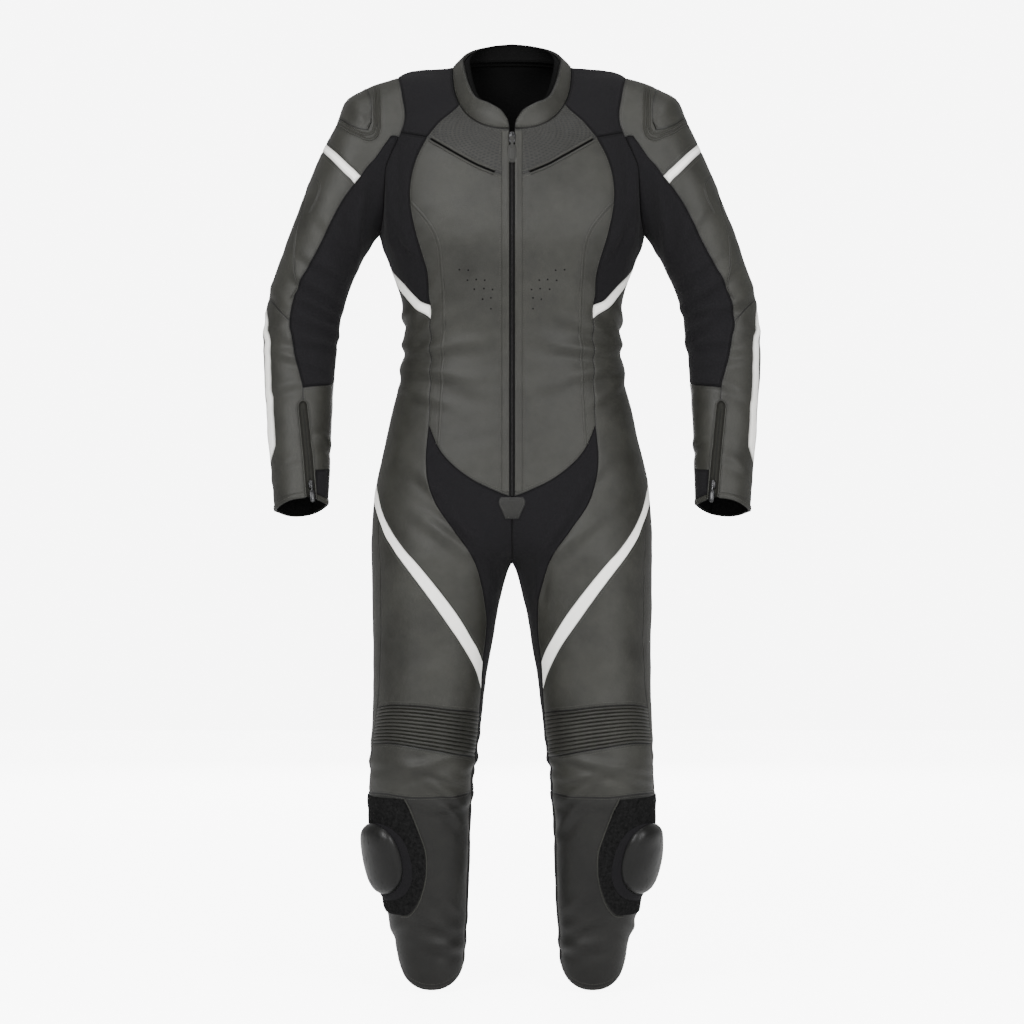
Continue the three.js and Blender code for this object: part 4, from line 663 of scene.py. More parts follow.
# Soft form: folds and the slow unevenness of worn cloth, as a height over the surface
BODY_FOLDS = [
    # view, x or turn, z, angle from level, length, width, height
    (front, 128, -332, -38, 60, 9, 1.9),
    (front, 122, -372, -20, 52, 8, 2.3),
    (front, 126, -402, -8, 56, 8, 2.6),
    (front, 118, -432, 6, 58, 9, 2.3),
    (front, 132, -462, 18, 60, 9, 1.9),
    (front, 78, -398, -10, 46, 10, 1.1),
    (front, 70, -452, 10, 50, 11, 1.1),
    (at_turn, 5, -352, -14, 50, 8, 2.4),
    (at_turn, 0, -392, 4, 60, 8, 2.6),
    (at_turn, -6, -426, 12, 60, 9, 2.2),
    (at_turn, -40, -372, -12, 60, 9, 2.4),
    (at_turn, -55, -404, 2, 70, 9, 2.4),
    (at_turn, -78, -386, 0, 60, 11, 1.6),
    (at_turn, -62, -452, 8, 60, 10, 1.8),
    (front, 158, -232, 62, 30, 8, 1.5),
    (front, 146, -258, 55, 34, 8, 1.4),
    (front, 96, -612, 42, 52, 9, 2.4),
    (front, 74, -648, 48, 50, 8, 2.6),
    (front, 52, -676, 55, 40, 7, 2.4),
    (front, 92, -668, 34, 60, 10, 1.8),
    (front, 34, -738, 72, 40, 8, 1.8),
    (at_turn, -60, -690, -10, 70, 10, 2.2),
    (at_turn, -66, -724, -4, 66, 9, 2.6),
    (at_turn, -88, -742, 3, 56, 9, 2.4),
    (at_turn, -98, -700, 12, 60, 9, 2.2),
    (front, 120, -992, -7, 76, 6, 2.6),
    (front, 142, -1006, -14, 56, 6, 2.4),
    (front, 96, -1010, 12, 46, 6, 2.4),
    (front, 92, -1032, 24, 46, 7, 2.6),
    (front, 118, -1052, 12, 50, 8, 2.0),
    (front, 84, -1066, 38, 50, 8, 2.2),
    (at_turn, 175, -990, 0, 50, 7, 2.4),
    (at_turn, -90, -972, 4, 80, 8, 2.6),
    (at_turn, -84, -1002, -4, 84, 8, 3.0),
    (at_turn, -92, -1030, 3, 80, 8, 2.6),
    (at_turn, -95, -1066, -5, 70, 9, 2.2),
    (front, 92, -1196, 30, 40, 8, 1.8),
    (front, 108, -1228, 20, 46, 8, 2.2),
    (front, 100, -1262, 8, 50, 8, 2.4),
    (at_turn, -30, -1218, -16, 50, 8, 2.0),
    (at_turn, -86, -1222, 4, 60, 9, 2.4),
    (at_turn, -90, -1250, -3, 56, 8, 2.2),
    (at_turn, 10, -1238, -14, 46, 8, 1.8),
]
SLEEVE_FOLDS = [
    # s, turn, angle from level, length, width, height
    (2.2, 120, 20, 50, 8, 2.4),
    (3.3, 128, 12, 52, 8, 2.6),
    (4.4, 120, 4, 46, 8, 2.4),
    (5.6, 112, -8, 44, 7, 2.2),
    (6.4, 130, 6, 48, 7, 2.8),
    (6.9, 118, -6, 50, 7, 3.0),
    (7.4, 126, 8, 50, 7, 3.0),
    (7.9, 110, -10, 46, 7, 2.4),
    (8.5, 96, 14, 44, 7, 1.9),
    (9.2, 80, -16, 44, 8, 1.7),
    (6.2, 62, 22, 40, 8, 1.7),
    (7.0, 48, 12, 40, 8, 1.9),
    (7.8, 40, -14, 42, 8, 1.9),
    (6.6, -60, -16, 46, 8, 2.0),
    (7.3, -70, 4, 50, 8, 2.4),
    (8.1, -56, 16, 44, 8, 2.0),
    (3.0, -120, 8, 50, 8, 2.2),
    (4.6, -112, -6, 50, 8, 2.2),
    (10.4, 150, 6, 40, 7, 1.8),
    (11.1, 60, -12, 36, 7, 1.4),
    (11.3, -80, 8, 40, 7, 1.6),
]


def fold_frames(surface, rows, places, seed):
    """Middle, direction, outward direction and sizes of each fold, a little different on either side."""
    rng = np.random.default_rng(seed)
    s, turn = places.T
    p, n = surface.at(s, turn), surface.normal(s, turn)
    across = unit(surface.at(s, turn + 1) - surface.at(s, turn - 1))
    angle, length, width, height = np.array([row[-4:] for row in rows], float).T
    angle = np.radians(angle + rng.normal(0, 5, len(rows)))
    p = p + across * rng.normal(0, 4, len(rows))[:, None]
    along = unit(across * np.cos(angle)[:, None] + np.cross(n, across) * np.sin(angle)[:, None])
    return p, along, np.cross(n, along), length * rng.uniform(0.85, 1.15, len(rows)), width, height


FOLD_DEPTH = 1.3
FOLDS = {}
for side_name, side_sign in SIDES:
    FOLDS[body, side_sign] = fold_frames(body, BODY_FOLDS,
        on_body(*(f(a, z) for f, a, z, *_ in BODY_FOLDS)), 11 + side_sign)
    FOLDS[sleeve, side_sign] = fold_frames(sleeve, SLEEVE_FOLDS,
        np.array([row[:2] for row in SLEEVE_FOLDS], float), 31 + side_sign)


def ripple(p, size, seed):
    """Slow unevenness from -1 to 1: a mean of sines that run in eight directions."""
    rng = np.random.default_rng(seed)
    waves = unit(rng.normal(size=(8, 3))) * (2 * np.pi / size) * rng.uniform(0.7, 1.4, (8, 1))
    return np.sin(p @ waves.T + rng.uniform(0, 2 * np.pi, 8)).mean(-1) * 1.8


def softness(surface, p, side, amount=1.0):
    """Height of the folds and the slow unevenness at points: each fold is a ridge with a furrow beside it."""
    height = 0.8 * ripple(p, 95, 3 + side) + 0.3 * ripple(p, 34, 5 + side)
    if (surface, side) in FOLDS:
        for middle, along, over, length, width, rise in zip(*FOLDS[surface, side]):
            off = p - middle
            near = np.exp(-((off @ along / length) ** 2) - (
                (np.linalg.norm(off, axis=-1) / (1.5 * length)) ** 4))
            a = off @ over / width
            height = height + FOLD_DEPTH * rise * near * (np.exp(-(a**2)) - 0.75 * np.exp(-((a - 1.7) ** 2)))
    return amount * height


# Meshes
def make_mesh(name, points, faces, materials, marks=None, face_slots=None, sharp=55):
    """A mesh object from points in millimetres and arrays of faces, one array for each number of corners."""
    mesh = bpy.data.meshes.new(name)
    faces = [np.asarray(f, np.int32) for f in faces if len(f)]
    corners = np.concatenate([f.ravel() for f in faces])
    sizes = np.concatenate([np.full(len(f), f.shape[1], np.int32) for f in faces])
    mesh.vertices.add(len(points))
    mesh.vertices.foreach_set("co", (np.asarray(points) * MM).astype(np.float32).ravel())
    mesh.loops.add(len(corners))
    mesh.loops.foreach_set("vertex_index", corners)
    mesh.polygons.add(len(sizes))
    mesh.polygons.foreach_set("loop_start", np.concatenate([[0], np.cumsum(sizes)[:-1]]).astype(np.int32))
    mesh.polygons.foreach_set("loop_total", sizes)
    mesh.polygons.foreach_set("use_smooth", np.ones(len(sizes), bool))
    if face_slots is not None:
        mesh.polygons.foreach_set("material_index", face_slots.astype(np.int32))
    mesh.update(calc_edges=True)
    mesh.validate()
    mesh.set_sharp_from_angle(angle=math.radians(sharp))
    for mark, values in (marks or {}).items():
        mesh.attributes.new(mark, "FLOAT", "POINT").data.foreach_set("value",
            values.astype(np.float32).ravel())
    for material in materials:
        mesh.materials.append(material)
    piece = bpy.data.objects.new(name, mesh)
    bpy.context.scene.collection.objects.link(piece)
    return piece


def grid_faces(columns, rows, start=0, flip=False):
    i, j = np.meshgrid(np.arange(columns - 1), np.arange(rows - 1), indexing="ij")
    a = (i * rows + j).ravel() + start
    quad = np.stack([a, a + rows, a + rows + 1, a + 1], -1)
    return quad[:, ::-1] if flip else quad


def rim_of(columns, rows):
    """Indices of a grid's edge in order round it."""
    index = np.arange(columns * rows).reshape(columns, rows)
    return np.concatenate([index[:-1, 0], index[-1, :-1], index[:0:-1, -1], index[0, :0:-1]])


def wall_mesh(name, outer, inner, side, materials, marks):
    """A closed wall: a fine outer grid, an inner grid of half as many cells, and the rim between them."""
    columns, rows = outer.shape[:2]
    coarse = inner[::2, ::2]
    points = np.vstack([outer.reshape(-1, 3), coarse.reshape(-1, 3)])
    middle = columns // 2, rows // 2
    a = outer[middle[0] + 1, middle[1]] - outer[middle]
    b = outer[middle[0], middle[1] + 1] - outer[middle]
    outward = np.dot(np.cross(a, b), outer[middle] - inner[middle]) > 0
    points[:, 0] *= side
    flip = outward != (side > 0)
    start = columns * rows
    outer_rim, inner_rim = rim_of(columns, rows), rim_of(*coarse.shape[:2]) + start
    count = len(inner_rim)
    k = np.arange(count)
    rim = np.stack([
        outer_rim[(2 * k + 2) % len(outer_rim)], outer_rim[(2 * k + 1) % len(outer_rim)], outer_rim[2 * k],
        inner_rim[k], inner_rim[(k + 1) % count],
    ], -1)
    rim = rim[:, ::-1] if flip else rim
    quads = grid_faces(columns, rows, 0, flip)
    inner_quads = grid_faces(*coarse.shape[:2], start, not flip)
    slots = np.concatenate([np.zeros(len(quads)), np.ones(len(inner_quads)), np.zeros(len(rim))])
    marks = {
        mark: np.concatenate([values.ravel(), values[::2, ::2].ravel()]) for mark, values in marks.items()
    }
    return make_mesh(name, points, [quads, inner_quads, rim], materials, marks, slots)


# Materials
def new_material(name):
    material = bpy.data.materials.new(name)
    material.use_nodes = True
    tree = material.node_tree
    shader = tree.nodes["Principled BSDF"]
    return material, tree, shader


def node(tree, kind, **values):
    made = tree.nodes.new(kind)
    for name, value in values.items():
        if hasattr(made, name):
            setattr(made, name, value)
        else:
            made.inputs[name.replace("_", " ")].default_value = value
    return made


def math_node(tree, operation, a, b=None, clamp=False):
    made = tree.nodes.new("ShaderNodeMath")
    made.operation, made.use_clamp = operation, clamp
    for socket, value in zip(made.inputs, (a, b)):
        if value is None:
            continue
        if isinstance(value, (int, float)):
            socket.default_value = value
        else:
            tree.links.new(value, socket)
    return made.outputs[0]


def ramp(tree, value, low, high):
    """Maps a value from low..high to 0..1."""
    made = node(tree, "ShaderNodeMapRange")
    made.inputs["From Min"].default_value, made.inputs["From Max"].default_value = low, high
    tree.links.new(value, made.inputs["Value"])
    return made.outputs["Result"]


def mix_colour(tree, share, a, b):
    made = tree.nodes.new("ShaderNodeMix")
    made.data_type = "RGBA"
    tree.links.new(share, made.inputs["Factor"])
    for socket, value in ((made.inputs["A"], a), (made.inputs["B"], b)):
        if hasattr(value, "is_linked"):
            tree.links.new(value, socket)
        else:
            socket.default_value = (*value, 1)
    return made.outputs["Result"]


def group(name, inputs, outputs):
    """A node group with named inputs (name, kind, value) and outputs (name, kind)."""
    tree = bpy.data.node_groups.new(name, "ShaderNodeTree")
    for label, kind, value in inputs:
        socket = tree.interface.new_socket(label, in_out="INPUT", socket_type=kind)
        socket.default_value = value
    for label, kind in outputs:
        tree.interface.new_socket(label, in_out="OUTPUT", socket_type=kind)
    return tree, tree.nodes.new("NodeGroupInput"), tree.nodes.new("NodeGroupOutput")


def grain_group():
    """Leather grain: small uneven cells with fine creases, and slow patches of deeper and flatter grain."""
    tree, given_in, out = group(
        "leather_grain",
        [("Cells per metre", "NodeSocketFloat", 700.0), ("Crease share", "NodeSocketFloat", 0.5)],
        [("Height", "NodeSocketFloat"), ("Patches", "NodeSocketFloat")],
    )
    coords = tree.nodes.new("ShaderNodeTexCoord")
    bend = node(tree, "ShaderNodeTexNoise", Scale=260.0, Detail=2.0)
    tree.links.new(coords.outputs["Object"], bend.inputs["Vector"])
    shift = tree.nodes.new("ShaderNodeVectorMath")
    shift.operation = "MULTIPLY_ADD"
    shift.inputs[1].default_value = (0.0012, 0.0012, 0.0012)
    tree.links.new(bend.outputs["Color"], shift.inputs[0])
    tree.links.new(coords.outputs["Object"], shift.inputs[2])
    cells = node(tree, "ShaderNodeTexVoronoi")
    cells.feature = "DISTANCE_TO_EDGE"
    tree.links.new(shift.outputs["Vector"], cells.inputs["Vector"])
    tree.links.new(given_in.outputs["Cells per metre"], cells.inputs["Scale"])
    pebble = ramp(tree, cells.outputs["Distance"], 0.0, 0.28)
    patches = node(tree, "ShaderNodeTexNoise", Scale=14.0, Detail=4.0, Roughness=0.62)
    tree.links.new(coords.outputs["Object"], patches.inputs["Vector"])
    creases = node(tree, "ShaderNodeTexNoise", Scale=120.0, Detail=5.0, Roughness=0.7)
    tree.links.new(coords.outputs["Object"], creases.inputs["Vector"])
    lines = math_node(tree, "ABSOLUTE", math_node(tree, "SUBTRACT", creases.outputs["Fac"], 0.5))
    lines = math_node(tree, "MULTIPLY", ramp(tree, lines, 0.0, 0.06), given_in.outputs["Crease share"])
    depth = math_node(tree, "MULTIPLY", pebble, ramp(tree, patches.outputs["Fac"], 0.2, 0.8))
    tree.links.new(math_node(tree, "ADD", depth, lines), out.inputs["Height"])
    tree.links.new(patches.outputs["Fac"], out.inputs["Patches"])
    return tree


def weave_group():
    """Woven stretch cloth: two crossed sets of threads that pass over and under each other."""
    tree, given_in, out = group(
        "stretch_weave",
        [("Threads per metre", "NodeSocketFloat", 900.0)],
        [("Height", "NodeSocketFloat"), ("Fuzz", "NodeSocketFloat")],
    )
    uv = tree.nodes.new("ShaderNodeUVMap")
    uv.uv_map = "cloth"
    split = tree.nodes.new("ShaderNodeSeparateXYZ")
    tree.links.new(uv.outputs["UV"], split.inputs[0])
    waves = []
    for axis in ("X", "Y"):
        run = math_node(tree, "MULTIPLY", split.outputs[axis], given_in.outputs["Threads per metre"])
        waves.append(math_node(tree, "SINE", math_node(tree, "MULTIPLY", run, 2 * math.pi)))
    over = math_node(tree, "MULTIPLY", waves[0], waves[1])
    fuzz = node(tree, "ShaderNodeTexNoise", Scale=900.0, Detail=3.0)
    coords = tree.nodes.new("ShaderNodeTexCoord")
    tree.links.new(coords.outputs["Object"], fuzz.inputs["Vector"])
    height = math_node(tree, "ADD", math_node(tree, "MULTIPLY", over, 0.5), fuzz.outputs["Fac"])
    tree.links.new(height, out.inputs["Height"])
    tree.links.new(fuzz.outputs["Fac"], out.inputs["Fuzz"])
    return tree


def seam_wear_and_shade_group():
    """Wear and painted shade from the distance to a seam: painted shade dark in the seam's crease and along
    its stitch rows, rubbed a little lighter beside it as wear.
    """
    tree, given_in, out = group(
        "seam_wear_and_painted_shade",
        [("Rub", "NodeSocketFloat", 0.25), ("Shade", "NodeSocketFloat", 0.5)],
        [("Rubbed", "NodeSocketFloat"), ("Shaded", "NodeSocketFloat")],
    )
    mark = tree.nodes.new("ShaderNodeAttribute")
    mark.attribute_name = "edge_mm"
    coords = tree.nodes.new("ShaderNodeTexCoord")
    patches = node(tree, "ShaderNodeTexNoise", Scale=60.0, Detail=4.0, Roughness=0.7)
    tree.links.new(coords.outputs["Object"], patches.inputs["Vector"])
    near = ramp(tree, mark.outputs["Fac"], 6.0, 2.6)
    rub = math_node(tree, "MULTIPLY", near, ramp(tree, patches.outputs["Fac"], 0.42, 0.7))
    tree.links.new(math_node(tree, "MULTIPLY", rub, given_in.outputs["Rub"]), out.inputs["Rubbed"])
    # painted shade: dark in the seam's crease and in a band along the stitch rows 1.8 to 4 mm from it
    seam_crease_shade = ramp(tree, mark.outputs["Fac"], 2.0, 0.7)
    stitch_groove_shade = math_node(tree, "MULTIPLY", ramp(tree, mark.outputs["Fac"], 1.8, 2.4),
        ramp(tree, mark.outputs["Fac"], 4.0, 3.3))
    dark = math_node(tree, "MAXIMUM", seam_crease_shade, math_node(tree, "MULTIPLY", stitch_groove_shade, 0.5))
    tree.links.new(math_node(tree, "MULTIPLY", dark, given_in.outputs["Shade"]), out.inputs["Shaded"])
    return tree


GRAIN, WEAVE, SEAM_WEAR_AND_SHADE = grain_group(), weave_group(), seam_wear_and_shade_group()


def place_group(tree, made, **values):
    placed = tree.nodes.new("ShaderNodeGroup")
    placed.node_tree = made
    for name, value in values.items():
        placed.inputs[name.replace("_", " ")].default_value = value
    return placed


def bump(tree, height, strength, distance):
    made = node(tree, "ShaderNodeBump")
    made.inputs["Strength"].default_value, made.inputs["Distance"].default_value = strength, distance
    tree.links.new(height, made.inputs["Height"])
    return made.outputs["Normal"]


def leather_material(name, dark, light, rubbed, roughness=(0.42, 0.6), cells=700.0, depth=0.00022,
        holes=None):
    """Finished leather: grain in the normal, patches in colour and gloss, painted shade in the seams and
    rubbed wear beside them.
    """
    material, tree, shader = new_material(name)
    grain = place_group(tree, GRAIN, Cells_per_metre=cells, Crease_share=0.35)
    rub_and_shade = place_group(tree, SEAM_WEAR_AND_SHADE, Rub=0.3, Shade=0.92)
    patches = ramp(tree, grain.outputs["Patches"], 0.3, 0.7)
    colour = mix_colour(tree, patches, dark, light)
    colour = mix_colour(tree, rub_and_shade.outputs["Rubbed"], colour, rubbed)
    # painted shade: the colour darkened towards a quarter of its dark tone in the seam creases and stitch
    # rows
    colour = mix_colour(tree, rub_and_shade.outputs["Shaded"], colour, tuple(0.25 * c for c in dark))
    height = grain.outputs["Height"]
    if holes:
        dots = hole_dots(tree, holes)
        colour = mix_colour(tree, dots, colour, (0.004, 0.004, 0.004))
        height = math_node(tree, "SUBTRACT", height, math_node(tree, "MULTIPLY", dots, 2.0))
    tree.links.new(colour, shader.inputs["Base Color"])
    gloss = node(tree, "ShaderNodeMapRange")
    gloss.inputs["To Min"].default_value, gloss.inputs["To Max"].default_value = roughness
    tree.links.new(grain.outputs["Patches"], gloss.inputs["Value"])
    tree.links.new(gloss.outputs["Result"], shader.inputs["Roughness"])
    tree.links.new(bump(tree, height, 0.5, depth), shader.inputs["Normal"])
    shader.inputs["Specular IOR Level"].default_value = 0.24
    return material


def hole_dots(tree, pitch):
    """Round holes in staggered rows over the piece's own map, 1 inside a hole and 0 beside it."""
    uv = tree.nodes.new("ShaderNodeUVMap")
    uv.uv_map = "cloth"
    scale = tree.nodes.new("ShaderNodeVectorMath")
    scale.operation = "SCALE"
    scale.inputs["Scale"].default_value = 1 / pitch
    tree.links.new(uv.outputs["UV"], scale.inputs[0])
    turn = node(tree, "ShaderNodeMapping")
    turn.inputs["Rotation"].default_value = (0, 0, math.radians(45))
    tree.links.new(scale.outputs["Vector"], turn.inputs["Vector"])
    part = tree.nodes.new("ShaderNodeVectorMath")
    part.operation = "FRACTION"
    tree.links.new(turn.outputs["Vector"], part.inputs[0])
    away = tree.nodes.new("ShaderNodeVectorMath")
    away.operation = "DISTANCE"
    away.inputs[1].default_value = (0.5, 0.5, 0)
    flat = tree.nodes.new("ShaderNodeVectorMath")
    flat.operation = "MULTIPLY"
    flat.inputs[1].default_value = (1, 1, 0)
    tree.links.new(part.outputs["Vector"], flat.inputs[0])
    tree.links.new(flat.outputs["Vector"], away.inputs[0])
    return ramp(tree, away.outputs["Value"], 0.3, 0.22)


def cloth_material(name, dark, light, roughness=0.85, threads=900.0, depth=0.0003, sheen=0.02):
    """Woven cloth: threads in the normal, a little fuzz in the colour, painted shade at the seams and a soft
    sheen.
    """
    material, tree, shader = new_material(name)
    weave = place_group(tree, WEAVE, Threads_per_metre=threads)
    rub_and_shade = place_group(tree, SEAM_WEAR_AND_SHADE, Rub=0.1, Shade=0.8)
    colour = mix_colour(tree, weave.outputs["Fuzz"], dark, light)
    # painted shade: the colour darkened towards a fifth of its dark tone in the seam creases and stitch rows
    colour = mix_colour(tree, rub_and_shade.outputs["Shaded"], colour, tuple(0.2 * c for c in dark))
    tree.links.new(colour, shader.inputs["Base Color"])
    gloss = node(tree, "ShaderNodeMapRange")
    gloss.inputs["To Min"].default_value, gloss.inputs["To Max"].default_value = roughness, min(1.0,
        roughness + 0.12)
    tree.links.new(weave.outputs["Fuzz"], gloss.inputs["Value"])
    tree.links.new(gloss.outputs["Result"], shader.inputs["Roughness"])
    tree.links.new(bump(tree, weave.outputs["Height"], 0.6, depth), shader.inputs["Normal"])
    shader.inputs["Sheen Weight"].default_value = sheen
    shader.inputs["Specular IOR Level"].default_value = 0.07
    shader.inputs["Sheen Roughness"].default_value = 0.5
    return material


def moulded_material(name, dark, light, roughness, scratches=0.4, metallic=0.0):
    """Moulded or coated hard stuff: faint mottling, fine scuffs in the gloss and the normal."""
    material, tree, shader = new_material(name)
    coords = tree.nodes.new("ShaderNodeTexCoord")
    mottle = node(tree, "ShaderNodeTexNoise", Scale=45.0, Detail=5.0, Roughness=0.65)
    stretchy = node(tree, "ShaderNodeMapping")
    stretchy.inputs["Scale"].default_value = (220.0, 220.0, 26.0)
    scuffs = node(tree, "ShaderNodeTexNoise", Scale=1.0, Detail=4.0, Roughness=0.75)
    tree.links.new(coords.outputs["Object"], mottle.inputs["Vector"])
    tree.links.new(coords.outputs["Object"], stretchy.inputs["Vector"])
    tree.links.new(stretchy.outputs["Vector"], scuffs.inputs["Vector"])
    marks = ramp(tree, scuffs.outputs["Fac"], 0.56, 0.74)
    colour = mix_colour(tree, mottle.outputs["Fac"], dark, light)
    colour = mix_colour(tree, math_node(tree, "MULTIPLY", marks, scratches * 0.5), colour,
        tuple(3 * c for c in light))
    tree.links.new(colour, shader.inputs["Base Color"])
    gloss = math_node(tree, "ADD", math_node(tree, "MULTIPLY", marks, scratches), roughness, clamp=True)
    tree.links.new(gloss, shader.inputs["Roughness"])
    tree.links.new(bump(tree, scuffs.outputs["Fac"], 0.25, 0.0002), shader.inputs["Normal"])
    shader.inputs["Metallic"].default_value = metallic
    shader.inputs["Specular IOR Level"].default_value = 0.2
    return material


def fuzzy_material(name, dark, light):
    """Loop pile: a dense field of tiny loops, rough and without gloss."""
    material, tree, shader = new_material(name)
    coords = tree.nodes.new("ShaderNodeTexCoord")
    loops = node(tree, "ShaderNodeTexVoronoi", Scale=1100.0)
    tufts = node(tree, "ShaderNodeTexNoise", Scale=240.0, Detail=6.0, Roughness=0.8)
    for made in (loops, tufts):
        tree.links.new(coords.outputs["Object"], made.inputs["Vector"])
    colour = mix_colour(tree, ramp(tree, tufts.outputs["Fac"], 0.35, 0.7), dark, light)
    tree.links.new(colour, shader.inputs["Base Color"])
    height = math_node(tree, "ADD", loops.outputs["Distance"], tufts.outputs["Fac"])
    tree.links.new(bump(tree, height, 0.9, 0.0008), shader.inputs["Normal"])
    shader.inputs["Roughness"].default_value = 0.95
    shader.inputs["Specular IOR Level"].default_value = 0.04
    return material


LEATHER = leather_material("grey_leather", (0.0122, 0.0121, 0.0101), (0.0232, 0.0231, 0.0196),
    (0.045, 0.045, 0.04))
# A darker copy of the grey leather, used on the shins and on the tab under the zip
DARK_LEATHER = leather_material(
    "dark_leather", (0.004, 0.0039, 0.0034), (0.0078, 0.0077, 0.0067), (0.022, 0.022, 0.019), (0.4, 0.56))
PERFORATED = leather_material(
    "perforated_leather", (0.0082, 0.0081, 0.0069), (0.0148, 0.0147, 0.0126), (0.04, 0.04, 0.036),
    holes=0.0038)
WHITE = leather_material(
    "white_leather", (0.82, 0.81, 0.77), (0.92, 0.91, 0.87), (0.95, 0.95, 0.92), (0.45, 0.62), 900.0, 0.00025)
STRETCH = cloth_material("black_stretch", (0.0042, 0.004, 0.0045), (0.0105, 0.0101, 0.0112))
LINING = cloth_material("black_lining", (0.002, 0.002, 0.002), (0.006, 0.006, 0.006), 0.95, 600.0, 0.0002,
    0.0)
LOOP = fuzzy_material("loop_pile", (0.003, 0.003, 0.003), (0.014, 0.014, 0.014))
PLASTIC = moulded_material("moulded_plastic", (0.003, 0.003, 0.0028), (0.006, 0.006, 0.0056), 0.36)
METAL = moulded_material("coated_metal", (0.02, 0.02, 0.021), (0.045, 0.045, 0.046), 0.28, 0.3, 0.85)
RUBBER = moulded_material("pull_rubber", (0.012, 0.012, 0.011), (0.02, 0.02, 0.018), 0.5, 0.2)
THREAD = moulded_material("sewing_thread", (0.02, 0.02, 0.018), (0.06, 0.06, 0.053), 0.55, 0.0)
COIL = moulded_material("zip_coil_nylon", (0.003, 0.003, 0.003), (0.008, 0.008, 0.008), 0.4, 0.1)
CUFF_TAPE = cloth_material("cuff_channel_cloth", (0.008, 0.008, 0.007), (0.022, 0.022, 0.019), 0.85, 500.0,
    0.0005)
TAPE = cloth_material("zip_tape", (0.004, 0.004, 0.004), (0.012, 0.012, 0.012), 0.9, 1200.0, 0.0002, 0.1)


# Panels
def own_map(piece, place, surface, side):
    """A map in metres along turn and s, for weave and holes."""
    mesh = piece.data
    s, turn = place.reshape(-1, 2).T
    row = np.linalg.norm(surface.at(s[len(s) // 2], turn[len(s) // 2]) - surface.at(s[len(s) // 2],
        turn[len(s) // 2] + 1))
    across = turn * max(row, 0.8) * MM
    down = s * ROW_RUN * MM
    corners = np.empty(len(mesh.loops), np.int32)
    mesh.loops.foreach_get("vertex_index", corners)
    values = np.stack([across[corners], down[corners]], -1)
    mesh.uv_layers.new(name="cloth").data.foreach_set("uv", values.astype(np.float32).ravel())


PATCHES = {}


def flat_size(patch):
    """Width, length and area of a patch laid flat, in metres: the longest lines of its grid each way."""
    width = patch.near["left"][-1].max()
    length = patch.near["bottom"][:, -1].max()
    a, b = np.diff(patch.p, axis=0)[:, :-1], np.diff(patch.p, axis=1)[:-1]
    area = np.linalg.norm(np.cross(a, b), axis=-1).sum()
    return width * MM, length * MM, area * MM * MM


SHEETS = []


def declare(piece, width, length, area, name, side):
    SHEETS.append((piece, (width, length), max(area, 0.301 * width * length), name, side))


def panel(
    name, patch, material, slot, wall=WALL, dip=0.5, seamless=(), raise_by=None, lift=0.0, softened=1.0,
    groove_shade=None,
):
    """Makes a panel's two sides: its patch lifted by folds, dipped at its seams, with a wall behind it. A
    given groove distance stands in for the distance to a seam, so the painted seam shade also falls in its
    grooves.
    """
    edge = patch.edge(seamless)
    dipped = -dip * np.exp(-((edge / 1.5) ** 2)) - 0.22 * np.exp(-(((edge - 3.0) / 0.9) ** 2)) * (dip < 0.8)
    width, length, area = flat_size(patch)
    for suffix, side in SIDES:
        soft = softness(patch.surface, patch.p, side, softened)
        height = soft + dipped + lift + (0 if raise_by is None else raise_by)
        outer = patch.p + patch.n * height[..., None]
        inner = patch.p + patch.n * (soft + lift - wall)[..., None]
        outer[..., 0], inner[..., 0] = np.maximum(outer[..., 0], 0), np.maximum(inner[..., 0], 0)
        piece = wall_mesh(
            f"{name}_panel_{suffix}", outer, inner, side, [material, LINING],
            {"edge_mm": edge if groove_shade is None else np.minimum(edge, groove_shade)})
        own_map(piece, np.concatenate([patch.place.reshape(-1, 2), patch.place[::2, ::2].reshape(-1, 2)]),
            patch.surface, side)
        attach(piece, "suit")
        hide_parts(f"{name}_{suffix}")
        PATCHES[name, side] = (patch, patch.p + patch.n * height[..., None], patch.n)
        declare(piece, width, length, area, name, side)


def joined_panel(name, patch, material, wall, dip, seamless, centre_side, softened=1.0,
        node_name=None, lift=0.0):
    """A panel in one piece across the mirror plane: its half and the mirror image, as one grid."""
    order = {"left": np.s_[::-1], "right": np.s_[:]}[centre_side]
    edge = patch.edge(seamless)
    dipped = -dip * np.exp(-((edge / 1.5) ** 2)) - 0.22 * np.exp(-(((edge - 3.0) / 0.9) ** 2)) * (dip < 0.8)
    halves = []
    for side in (1, -1):
        flat = patch.p[order].copy()
        n = patch.n[order].copy()
        soft = 0.5 * (softness(patch.surface, patch.p, 1, softened) + softness(patch.surface, patch.p, -1,
            softened))[order]
        outer = flat + n * (soft + dipped[order] + lift)[..., None]
        inner = flat + n * (soft - wall + lift)[..., None]
        for p in (outer, inner):
            p[-1, :, 0] = 0
            p[..., 0] *= side
        halves.append((outer, inner))
    outer, inner = (np.concatenate([halves[0][k], halves[1][k][-2::-1]]) for k in (0, 1))
    whole_edge = np.concatenate([edge[order], edge[order][-2::-1]])
    piece = wall_mesh(name, outer, inner, 1, [material, LINING], {"edge_mm": whole_edge})
    place = patch.place[order]
    place = np.concatenate([place, place[-2::-1] * (1, -1) + (0, 2 * place[-1, 0, 1])])
    own_map(piece, np.concatenate([place.reshape(-1, 2), place[::2, ::2].reshape(-1, 2)]), patch.surface, 1)
    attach(piece, "suit")
    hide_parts(node_name or name)
    width, length, area = flat_size(patch)
    width, area = 2 * width, 2 * area
    declare(piece, width, length, area, name, 0)
    for side in (1, -1):
        soft = softness(patch.surface, patch.p, side, softened)
        PATCHES[name, side] = (patch, patch.p + patch.n * (soft + dipped + lift)[..., None], patch.n)
    return piece


